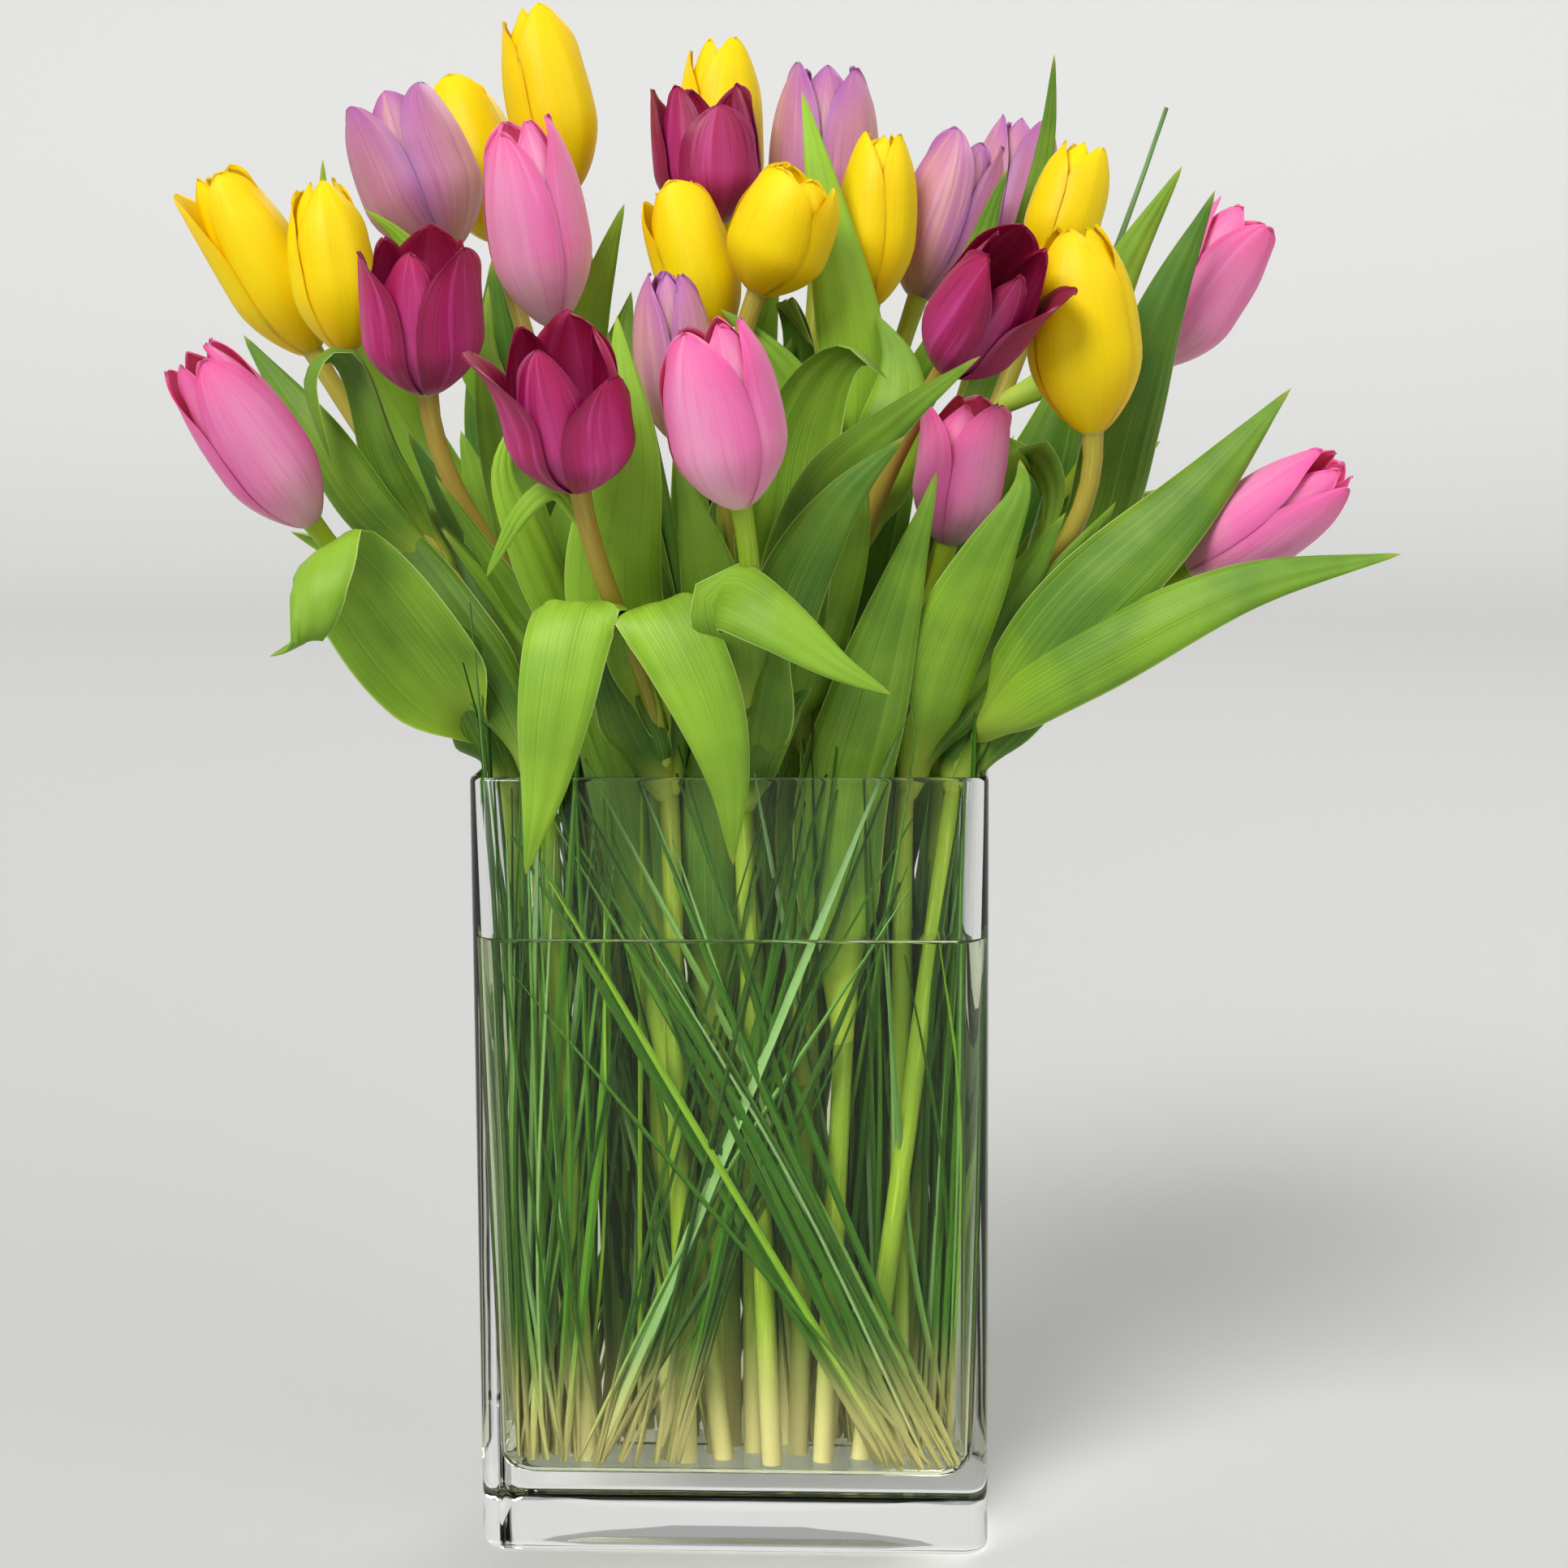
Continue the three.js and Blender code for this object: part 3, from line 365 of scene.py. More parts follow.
class Route:
    """A line through space that is read by share of its length."""

    def __init__(self, points):
        self.points = points
        self.reach = [0.0]
        for last, here in zip(points, points[1:]):
            self.reach.append(self.reach[-1] + (here - last).length)
        self.length = self.reach[-1]
        ends = [points[0], *points, points[-1]]
        self.ways = [(after - before).normalized() for before, after in zip(ends, ends[2:])]

    def at(self, share):
        """The place and the direction at a share of the length."""
        goal = clamp(share) * self.length
        k = clamp(bisect.bisect_right(self.reach, goal), 1, len(self.points) - 1)
        part = (goal - self.reach[k - 1]) / (self.reach[k] - self.reach[k - 1])
        way = self.ways[k - 1].lerp(self.ways[k], part).normalized()
        return self.points[k - 1].lerp(self.points[k], part), way


def route_through(points, steps=12):
    """A smooth route through a few points."""
    before = points[0] * 2 - points[1]
    after = points[-1] * 2 - points[-2]
    knots = [before, *points, after]
    line = [points[0]]
    for a, b, c, d in zip(knots, knots[1:], knots[2:], knots[3:]):
        line += interpolate_bezier(b, b + (c - a) / 6, c - (d - b) / 6, c, steps)[1:]
    return Route(line)


def straight(low, high):
    low, high = Vector(low), Vector(high)
    return Route([low, (low + high) / 2, high])


# ---------------- mesh parts


def linked(verts, kind):
    """The faces or the edges at some vertices, each once."""
    return list(dict.fromkeys(part for vert in verts for part in getattr(vert, kind)))


def only(parts, kind):
    return [part for part in parts if isinstance(part, kind)]


def add_object(name, data):
    made = bpy.data.objects.new(name, data)
    bpy.context.scene.collection.objects.link(made)
    return made


class Shape:
    """A mesh under construction, in millimetres. Every face knows its tone, which its finish reads as the
    age and shade of that petal, leaf or blade, and whether it is on the inner side."""

    def __init__(self):
        self.bm = bmesh.new()
        self.uv = self.bm.loops.layers.uv.new("UVMap")
        self.tone = self.bm.faces.layers.float.new("tone")
        self.inner = self.bm.faces.layers.float.new("inner")

    def sheet(self, place, across, along, thick, tone, slot=0):
        """A thin closed sheet: a grid bent onto place(u, v), with u from -1 to 1 and v from 0 to 1, and its
        copy a thickness behind it. The two meet in a fine edge all round."""
        verts = bmesh.ops.create_grid(self.bm, x_segments=across, y_segments=along, size=1)["verts"]
        faces = linked(verts, "link_faces")
        for face in faces:
            face[self.tone] = tone
            face.material_index = slot
            for loop in face.loops:
                loop[self.uv].uv = (loop.vert.co.x / 2 + 0.5, loop.vert.co.y / 2 + 0.5)
        for vert in verts:
            vert.co = place(vert.co.x, vert.co.y / 2 + 0.5)
        for part in faces + verts:
            part.normal_update()
        whole = verts + linked(verts, "link_edges") + faces
        twin = bmesh.ops.duplicate(self.bm, geom=whole)["geom"]
        twin_verts = only(twin, BMVert)
        twin_faces = only(twin, BMFace)
        for face in twin_faces:
            face[self.inner] = 1
        for vert in twin_verts:
            if not vert.is_boundary:
                vert.co -= vert.normal * thick
        bmesh.ops.reverse_faces(self.bm, faces=twin_faces)
        bmesh.ops.remove_doubles(self.bm, verts=verts + twin_verts, dist=0.01)

    def tube(self, place, sides, rings, tone, slot=0):
        """A closed tube: place(angle, v) gives each ring of points, with v from 0 to 1."""
        verts = bmesh.ops.create_circle(self.bm, segments=sides, radius=1)["verts"]
        first = edges = linked(verts, "link_edges")
        for _ in range(rings - 1):
            made = bmesh.ops.extrude_edge_only(self.bm, edges=edges)["geom"]
            ring = only(made, BMVert)
            edges = only(made, BMEdge)
            bmesh.ops.translate(self.bm, verts=ring, vec=UP)
            verts = verts + ring
        bmesh.ops.holes_fill(self.bm, edges=first + edges, sides=0)
        faces = linked(verts, "link_faces")
        angles = {vert: math.atan2(vert.co.y, vert.co.x) % math.tau for vert in verts}
        levels = {vert: round(vert.co.z) / (rings - 1) for vert in verts}
        for face in faces:
            face[self.tone] = tone
            face.material_index = slot
            for loop in face.loops:
                loop[self.uv].uv = (angles[loop.vert] / math.tau, levels[loop.vert])
        for vert in verts:
            vert.co = place(angles[vert], levels[vert])
        bmesh.ops.recalc_face_normals(self.bm, faces=faces)
        if sum(face.calc_area() * face.normal.dot(face.calc_center_median()) for face in faces) < 0:
            bmesh.ops.reverse_faces(self.bm, faces=faces)

    def rod(self, route, radius, sides, rings, tone=0, slot=0):
        """A tube round a route, with radius(v) along it."""

        def place(angle, v):
            centre, way = route.at(v)
            across = squared(Vector(BACK), way)
            up = way.cross(across)
            return centre + (across * math.cos(angle) + up * math.sin(angle)) * radius(v)

        self.tube(place, sides, rings, tone, slot)

    def piece(self, name, finishes, node, crease=50):
        """The finished object, in metres, which stands for a node of the frame."""
        bmesh.ops.scale(self.bm, vec=(MM, MM, MM), verts=self.bm.verts)
        mesh = bpy.data.meshes.new(name)
        self.bm.to_mesh(mesh)
        self.bm.free()
        for finish in finishes:
            mesh.materials.append(finish)
        mesh.shade_smooth()
        mesh.set_sharp_from_angle(angle=math.radians(crease))
        made = add_object(name, mesh)
        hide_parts(node)
        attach(made, "root")
        return made


# ---------------- finishes


def colour(code):
    """A colour written as on paper, 0xrrggbb, as the linear colour that a shader takes."""
    parts = [((code >> shift) & 255) / 255 for shift in (16, 8, 0)]
    return (*(((part + 0.055) / 1.055) ** 2.4 if part > 0.04045 else part / 12.92 for part in parts), 1)


class Number:
    """A number in a material, on which Python's own operators work."""

    def __init__(self, finish, socket):
        self.finish = finish
        self.socket = socket

    def _math(self, operation, *values):
        made = self.finish.node("ShaderNodeMath", dict(enumerate(values)), operation=operation)
        return Number(self.finish, made.outputs[0])

    def __add__(self, other):
        return self._math("ADD", self, other)

    __radd__ = __add__

    def __sub__(self, other):
        return self._math("SUBTRACT", self, other)

    def __rsub__(self, other):
        return self._math("SUBTRACT", other, self)

    def __mul__(self, other):
        return self._math("MULTIPLY", self, other)

    __rmul__ = __mul__

    def __pow__(self, other):
        return self._math("POWER", self, other)

    def __abs__(self):
        return self._math("ABSOLUTE", self)

    def within(self, low, high):
        """0 up to low, 1 from high on, and a smooth rise between."""
        sockets = {0: self, 1: low, 2: high}
        made = self.finish.node("ShaderNodeMapRange", sockets, interpolation_type="SMOOTHSTEP")
        return Number(self.finish, made.outputs[0])


class Finish:
    """A material under construction: its main shader, and nodes that are added by type. A colour is written
    as 0xrrggbb or comes from another node."""

    def __init__(self, name, **constants):
        self.material = bpy.data.materials.new(name)
        self.material.use_nodes = True
        self.tree = self.material.node_tree
        self.shader = self.tree.nodes["Principled BSDF"]
        for socket, value in constants.items():
            self.shader.inputs[socket.replace("_", " ")].default_value = value
        coordinates = self.node("ShaderNodeTexCoord", {})
        self.place = coordinates.outputs["Object"]
        apart = self.node("ShaderNodeSeparateXYZ", {0: coordinates.outputs["UV"]})
        self.across = Number(self, apart.outputs["X"])
        self.along = Number(self, apart.outputs["Y"])

    def node(self, kind, sockets, **settings):
        """A node of any type: its settings first, then the values or links of its sockets."""
        made = self.tree.nodes.new(kind)
        for name, value in settings.items():
            setattr(made, name, value)
        for key, value in sockets.items():
            self.feed(made.inputs[key], value)
        return made

    def feed(self, socket, value):
        if isinstance(value, Number):
            value = value.socket
        if isinstance(value, bpy.types.NodeSocket):
            self.tree.links.new(value, socket)
        else:
            socket.default_value = colour(value) if socket.type == "RGBA" else value

    def attribute(self, name):
        return Number(self, self.node("ShaderNodeAttribute", {}, attribute_name=name).outputs["Fac"])

    def noise(self, vector, scale, detail=3, roughness=0.5):
        sockets = {"Vector": vector, "Scale": scale, "Detail": detail, "Roughness": roughness}
        return Number(self, self.node("ShaderNodeTexNoise", sockets).outputs["Fac"])

    def vector(self, x, y, z):
        return self.node("ShaderNodeCombineXYZ", {0: x, 1: y, 2: z}).outputs[0]

    def height(self):
        """Height above the ground in metres."""
        return Number(self, self.node("ShaderNodeSeparateXYZ", {0: self.place}).outputs["Z"])

    def coat(self, share, shade):
        """Lays a colour over what is there, as far as a share says."""
        sockets = {"Factor": share, 6: self.shade, 7: shade}
        self.shade = self.node("ShaderNodeMix", sockets, data_type="RGBA", clamp_factor=True).outputs[2]

    def ramp(self, share, stops):
        """A first coat, with a colour for each share from (share, colour) stops."""
        made = self.node("ShaderNodeValToRGB", {0: share})
        elements = made.color_ramp.elements
        for k, (position, shade) in enumerate(stops):
            stop = elements[k] if k < 2 else elements.new(position)
            stop.position = position
            stop.color = colour(shade)
        self.shade = made.outputs["Color"]

    def bump(self, height, strength, depth):
        sockets = {"Strength": strength, "Distance": depth * MM, "Height": height}
        self.feed(self.shader.inputs["Normal"], self.node("ShaderNodeBump", sockets).outputs["Normal"])

    def surface(self, roughness, height, strength, depth):
        """The material, with its coats of colour, its roughness and a bump of a depth in millimetres."""
        self.feed(self.shader.inputs["Base Color"], self.shade)
        self.feed(self.shader.inputs["Roughness"], roughness)
        self.bump(height, strength, depth)
        return self.material


def living_finish(name, glow, radius, gloss):
    """The start of a finish for petals and leaves, which let light through for a few millimetres."""
    return Finish(
        name, Subsurface_Weight=glow, Subsurface_Radius=radius, Subsurface_Scale=MM, Specular_IOR_Level=gloss
    )


def petal_finish(name, colours, streaks=0.3, gloss=0.4, glow=0.45):
    """A petal: pale at its foot, with a rib up the middle, fine veins, pale streaks that are partly its own
    and partly painted sheen, and its own shade of the colour. Its colours are base, low, body and tip, from
    the foot up, then edge, rib (also for the painted sheen), deep (for veins) and inside. streaks is how
    strong the veins and the painted sheen are."""
    base, low, body, tip, edge, rib, deep, inside = colours
    finish = living_finish(name, glow, (3, 2, 1.5), gloss)
    tone = finish.attribute("tone")
    side = abs(finish.across * 2 - 1)
    cloud = finish.noise(finish.place, 55, 2)
    veins = finish.noise(finish.vector(finish.across * 34, finish.along * 2.2, tone * 40), 1, 4, 0.6)
    along = finish.along + (cloud - 0.5) * 0.16 + (veins - 0.5) * 0.12
    finish.ramp(along, [(0.0, base), (1.0, tip), (0.18, low), (0.45, body), (0.6, body)])
    finish.coat(side**2.6 * (0.35 + 0.5 * cloud), edge)
    finish.coat((1 - side) ** 3 * (1 - finish.along) * 0.9, rib)
    # Painted sheen, in part: pale streaks of the rib's colour along the petal stand for its satin highlights,
    # as well as for its own paler streaks.
    streaks_and_sheen = finish.noise(finish.vector(finish.across * 9, finish.along * 1.3, tone * 70), 1, 2)
    finish.coat(streaks_and_sheen.within(0.5, 0.75) * streaks * 1.4, rib)
    finish.coat(veins.within(0.5, 0.75) * streaks + tone * 0.45, deep)
    finish.coat(finish.attribute("inner") * 0.55, inside)
    return finish.surface(0.4 + 0.16 * veins, veins * 0.6 + cloud * 0.6, 0.35, 0.5)


def leaf_finish():
    """A tulip leaf: fine parallel veins, a waxy bloom, a pale thin rim and a paler foot."""
    finish = living_finish("tulip_leaf", 0.2, (0.8, 1.6, 0.4), 0.28)
    tone = finish.attribute("tone")
    side = abs(finish.across * 2 - 1)
    cloud = finish.noise(finish.place, 26, 3)
    veins = finish.noise(finish.vector(finish.across * 80, finish.along * 1.4, tone * 30), 1, 3, 0.55)
    # dark gives the dark leaves and veins, and also the painted shade of the low leaves deep in the bunch.
    dark = 0x254E08
    finish.shade = 0x98C434
    finish.coat(tone * 0.8 + (cloud - 0.5) * 0.7, dark)
    finish.coat(cloud.within(0.42, 0.7) * (0.12 + tone * 0.45), 0x3E7028)
    finish.coat(veins.within(0.48, 0.7) * 0.22, 0xA8CC4C)
    finish.coat((1 - veins).within(0.5, 0.72) * 0.3, dark)
    finish.coat((1 - finish.along).within(0.72, 1) * 0.65, 0xC2D24E)
    finish.coat(side.within(0.95, 1) * 0.7, 0xCCE27C)
    finish.coat(finish.along.within(0.95, 1) * 0.4, 0xB7A24A)
    return finish.surface(0.38 + 0.2 * cloud, veins, 0.3, 0.5)


def stem_finish():
    """A tulip's stem: yellow-green, brown under some blooms, with faint streaks, painted shade low down in
    the vase and a pale cut foot.
    """
    finish = living_finish("tulip_stem", 0.15, (1.5, 1.5, 0.6), 0.3)
    tone = finish.attribute("tone")
    streaks = finish.noise(finish.vector(finish.across * 18, finish.along * 12, tone * 10), 1, 3)
    cloud = finish.noise(finish.place, 40, 2)
    slow = finish.noise(finish.place, 14, 1)
    finish.shade = 0xB4C82A
    finish.coat(cloud, 0x8CAE22)
    finish.coat(slow.within(0.4, 0.65) * 0.7, 0x6A8A1E)
    # Painted shade: the stem grows darker from 0.27 m down, in the vase.
    finish.coat((0.27 - finish.height()).within(0, 0.06) * 0.6, 0x64802A)
    finish.coat(tone * finish.along.within(0.5, 0.95), 0xA9853C)
    finish.coat(streaks.within(0.5, 0.75) * 0.35, 0xC4D05C)
    finish.coat((0.08 - finish.height()).within(0, 0.05) * 0.8, 0xCDBC8C)
    return finish.surface(0.35 + 0.2 * streaks, streaks, 0.2, 0.4)


def grass_finish():
    """Bear grass: dark, blue-green and yellow-green blades, ribbed along, bleached at the foot."""
    finish = living_finish("bear_grass", 0.05, (0.5, 0.8, 0.3), 0.2)
    tone = finish.attribute("tone")
    ribs = finish.noise(finish.vector(finish.across * 9, finish.along * 3, tone * 60), 1, 3)
    stops = [(0.0, 0x1A3A0A), (1.0, 0x9CBA30), (0.35, 0x2C5A0C), (0.62, 0x487818)]
    stops += [(0.8, 0x72945E), (0.86, 0x648E20)]
    finish.ramp(tone, stops)
    finish.coat(ribs.within(0.45, 0.75) * 0.2, 0x92AC44)
    finish.coat((0.075 - finish.height()).within(0, 0.045) * 0.7, 0xB8A874)
    return finish.surface(0.38 + 0.2 * ribs, ribs, 0.4, 0.3)


def heart_finish():
    """The receptacle and the pistil: pale green, yellower at the top."""
    finish = Finish("bloom_heart")
    cloud = finish.noise(finish.place, 300, 2)
    finish.shade = 0xA9B765
    finish.coat(finish.along * 0.7 + cloud * 0.3, 0xE6DFA0)
    return finish.surface(0.5, cloud, 0.3, 0.3)


def stamen_finish():
    """Stamens: pale filaments under dusty dark anthers."""
    finish = Finish("stamen")
    dust = finish.noise(finish.place, 1500, 2)
    finish.shade = 0x241626
    finish.coat(dust.within(0.4, 0.7), 0x6B4A2C)
    return finish.surface(0.8, dust, 0.5, 0.3)


def clear_finish(name, shade, ior, mirror, waves, depth):
    """Glass or water: clear all through, with slow waves in its surface, which mirrors a little."""
    finish = Finish(
        name, Transmission_Weight=1.0, IOR=ior, Roughness=0.0, Base_Color=(*shade, 1),
        Specular_Tint=(mirror, mirror, mirror, 1),
    )
    finish.bump(finish.noise(finish.place, waves, 1), 0.2, depth)
    return finish.material


PETALS = {
    "yellow": petal_finish(
        "yellow_petal",
        [0xE2BE1C, 0xF8BC00, 0xFFD800, 0xFFDE00, 0xF9C200, 0xFFDE00, 0xF6B600, 0xFAC000], gloss=0.2,
    ),
    "pink": petal_finish(
        "pink_petal",
        [0xE8E2B4, 0xF8CCC8, 0xF490BA, 0xEE5698, 0xEA4C98, 0xFBCCDA, 0xEC4A98, 0xE0306E], 0.24, gloss=0.3,
    ),
    "lilac": petal_finish(
        "lilac_petal",
        [0xB4A85A, 0xD49C72, 0xCC8698, 0xB868B6, 0x9444A6, 0xE4B69C, 0x96508E, 0x8C3488], 0.42,
    ),
    "burgundy": petal_finish(
        "burgundy_petal",
        [0xCBA9B8, 0x9C145C, 0xB01660, 0xAC0C46, 0x640022, 0xD850A0, 0x5E0016, 0x7C001C], 0.5, glow=0.15,
    ),
}
LEAF = leaf_finish()
STEM = stem_finish()
BLADE = grass_finish()
HEART = heart_finish()
STAMEN = stamen_finish()
GLASS = clear_finish("vase_glass", (0.98, 0.99, 0.98), 1.5, 0.3, 22, 0.9)
GLASS_EDGE = clear_finish("vase_edge", (1, 1, 1), 1.5, 1, 22, 0.9)
# The water's dark olive tint is partly painted shade: it dims the stems and blades in the vase, on which the
# glass casts no shadow. The rest is a faint green of the water's own.
WATER = clear_finish("vase_water", (0.76, 0.81, 0.6), 1.333, 0.1, 12, 0.2)

# ---------------- vase and water


def block_piece(name, rings, finishes, node):
    """A closed body of rounded rectangles: each ring is (height, half width, half depth, corner radius). Its
    flat walls have the first finish, and all else has the last."""
    shape = Shape()
    sides = 4 * CORNER_STEPS

    def place(angle, v):
        height, half_x, half_y, radius = rings[round(v * (len(rings) - 1))]
        quarter, step = divmod(round(angle / math.tau * sides) % sides, CORNER_STEPS)
        turn = math.radians(90 * (quarter + step / (CORNER_STEPS - 1)))
        right = 1 if quarter in (0, 3) else -1
        back = 1 if quarter in (0, 1) else -1
        x = right * (half_x - radius) + radius * math.cos(turn)
        y = back * (half_y - radius) + radius * math.sin(turn)
        return Vector((x, y, height))

    shape.tube(place, sides, len(rings), 0)
    for face in shape.bm.faces:
        wall = max(abs(face.normal.x), abs(face.normal.y)) > 0.99
        if not (wall and FLOOR < face.calc_center_median().z < HEIGHT - RIM_WALL):
            face.material_index = len(finishes) - 1
    made = shape.piece(name, finishes, node, crease=80)
    made.visible_shadow = False
    made.modifiers.new("even faces", "WEIGHTED_NORMAL").keep_sharp = True


def wall_at(height):
    """Thickness of the vase's wall at a height."""
    return mix(FOOT_WALL, RIM_WALL, (height - FLOOR) / (HEIGHT - FLOOR))


def outer_ring(height, inset=0):
    return (height, HALF_WIDTH - inset, HALF_DEPTH - inset, CORNER - inset / 2)


def cavity_ring(height, inset=0):
    inset += wall_at(height)
    return (height, HALF_WIDTH - inset, HALF_DEPTH - inset, CORNER - 1)


def cavity_foot(overlap):
    """The rounded bottom of the cavity and its gently domed floor, from the wall to the middle."""
    rings = []
    for turn in turns(90, 5):
        height = FLOOR + CAVITY_ROUND * (1 - math.sin(turn)) - overlap
        rings.append(cavity_ring(height, CAVITY_ROUND * (1 - math.cos(turn)) - overlap))
    return rings + [cavity_ring(FLOOR + rise - overlap, inset) for inset, rise in DOME]


def make_vase():
    lip = RIM_WALL / 2
    rings = list(HOLLOW)
    for turn in turns(90, 4):
        rings.append(outer_ring(FOOT_ROUND * (1 - math.cos(turn)), FOOT_ROUND * (1 - math.sin(turn))))
    rings += [outer_ring(height) for height in WALL_HEIGHTS]
    for turn in turns(180, 4):
        height = HEIGHT - lip + lip * math.sin(turn)
        across = lip - lip * math.cos(turn)
        rings.append((height, HALF_WIDTH - across, HALF_DEPTH - across, CORNER - across / 3))
    rings += [cavity_ring(height) for height in WALL_HEIGHTS[::-1]]
    rings += cavity_foot(0)
    block_piece("vase_glass", rings, [GLASS, GLASS_EDGE], "vase")


def make_water():
    """The water, which wets the glass and climbs a little up its walls."""
    rings = cavity_foot(WETTING)[::-1]
    rings += [cavity_ring(height, -WETTING) for height in WALL_HEIGHTS]
    rings += [cavity_ring(WATER_LEVEL + climb, inset) for inset, climb in WATER_EDGE]
    block_piece("vase_water", rings, [WATER], "water")


# ---------------- leafy stems


def foot_of(tulip):
    x, y = tulip.foot or [FOOT_PULL * place for place in tulip.collar]
    return Vector((x, y, STEM_FOOT))


def mouth_of(tulip):
    return Vector((*tulip.collar, COLLAR))


def stem_route(tulip, steps=40):
    """The free part of a stem, from the vase's mouth to the bloom."""
    collar = mouth_of(tulip)
    base = Vector(tulip.base)
    axis = (Vector(tulip.tip) - base).normalized()
    rise = (collar - foot_of(tulip)).normalized()
    reach = STEM_REACH * (base - collar).length
    return interpolate_bezier(collar, collar + rise * reach, base - axis * reach, base, steps)


def stem_place(tulip, share):
    """A place on the stem: a share of its free part, or below 0 a share of the part in the vase."""
    free = stem_route(tulip)
    if share >= 0:
        return free[round(share * (len(free) - 1))]
    return free[0].lerp(foot_of(tulip), -share)


def leaf_half(share, width):
    """Half a leaf's width at a share of its length: some at its foot, none at its tip."""
    fullness = 0.35 * (1 - share) + math.sin(math.pi * min(share, 1) ** 0.85)
    fullest = 1.175
    return width / 2 * fullness / fullest


def add_leaf(shape, tulip, leaf, rng):
    route = route_through([stem_place(tulip, leaf.at), *map(Vector, leaf.points)])
    hints = [Vector(hint) for hint in leaf.across or (leaf.face, leaf.face)]
    phases = [rng.uniform(0, math.tau) for _ in (0, 1)]
    waves = rng.uniform(1.6, 3.2)
    clasp = min(CLASP, leaf.width * 0.3)

    @functools.cache
    def row(v):
        centre, way = route.at(v)
        hint = squared(hints[0].lerp(hints[1], v), way)
        side = hint if leaf.across else hint.cross(way)
        back = way.cross(side)
        wrap = 1 - smooth(0, leaf.sheath, v)
        half = mix(leaf_half(v, leaf.width), clasp, wrap)
        hug = STEM_RADIUS + mix(-0.6, 0.4, smooth(0, 0.08, v))
        reach = max(half, 0.5)
        bend = min(mix(LEAF_CURL / reach, 1 / hug, wrap), CLASP_CURL / reach)
        lift = mix(LEAF_CURL / 2 * half, hug, wrap)
        return centre, side, back, half, bend, lift

    def place(u, v):
        centre, side, back, half, bend, lift = row(v)
        turn = bend * u * half
        phase = phases[0] if u < 0 else phases[1]
        wave = 0.075 * half * math.sin(waves * math.tau * v + phase) * u * u * smooth(0.15, 0.5, v)
        across = math.sin(turn) / bend
        pleat = 0.22 * math.cos(3 * math.pi * u) * smooth(0.05, 0.3, v) * smooth(1, 0.8, v)
        out = (math.cos(turn) - 1) / bend + lift + wave + pleat
        return centre + side * across + back * out

    along = max(18, round(route.length / LEAF_STEP))
    tone = rng.random() if leaf.tone is None else leaf.tone
    shape.sheet(place, LEAF_ACROSS, along, LEAF_THICK, tone, slot=1)


def low_leaf(tulip, rng):
    """A leaf from inside the vase that stands close beside its stem and fills the bunch, dark with painted
    shade.
    """
    turn = rng.uniform(0, math.tau)
    away = Vector((math.cos(turn), 0.7 * math.sin(turn), 0))
    inside = all(abs(place) < limit for place, limit in zip(tulip.collar, LOW_PLACES))
    start = rng.uniform(-0.5, -0.25) if inside else rng.uniform(0.03, 0.1)
    top = rng.uniform(0.4, 0.85)
    shares = [mix(max(start, 0.02), top, part) for part in (0.25, 0.6, 1)]
    points = [stem_place(tulip, share) + away * (2 + 16 * share) for share in shares]
    face = (rng.uniform(-0.7, 0.7), -1 if tulip.collar[1] < 8 else 1, 0)
    # Their dark tone is painted shade, for the recesses deep in the bunch where these leaves stand.
    return Leaf(start, points, rng.uniform(17, 25), face, tone=rng.uniform(0.65, 1), sheath=0.45)


def make_stem(tulip):
    rng = random.Random("stem " + tulip.name)
    shape = Shape()
    below = [foot_of(tulip).lerp(mouth_of(tulip), k / 16) for k in range(16)]
    route = Route(below + stem_route(tulip))

    def radius(v):
        return STEM_RADIUS * (1.04 - 0.1 * v + 0.12 * smooth(0.97, 1, v))

    shape.rod(route, radius, STEM_SIDES, STEM_RINGS, TAN[tulip.shade])
    for leaf in tulip.leaves:
        add_leaf(shape, tulip, leaf, rng)
    for _ in range(LOW_LEAVES):
        add_leaf(shape, tulip, low_leaf(tulip, rng), rng)
    shape.piece(f"{tulip.name}_stem", [STEM, LEAF], f"stem_{tulip.name}")


# ---------------- blooms


def petal_radius(share, bulge, opening):
    """How far a petal stands from the bloom's axis at a share of its length."""
    if share < PETAL_BULGE:
        return mix(PETAL_BASE, bulge, math.sin(math.pi / 2 * share / PETAL_BULGE) ** 0.8)
    fall = ((share - PETAL_BULGE) / (1 - PETAL_BULGE)) ** 2.7
    return bulge * mix(1, mix(0.3, 1.15, opening), fall)


def petal_spread(share, spread, blunt):
    """Half the angle that a petal spans: full below, and round to a blunt or a finer point above."""
    rise = max(0, (share - 0.4) / 0.6)
    return spread * max(0, 1 - rise ** mix(2, 3.2, blunt)) ** mix(0.72, 0.52, blunt)


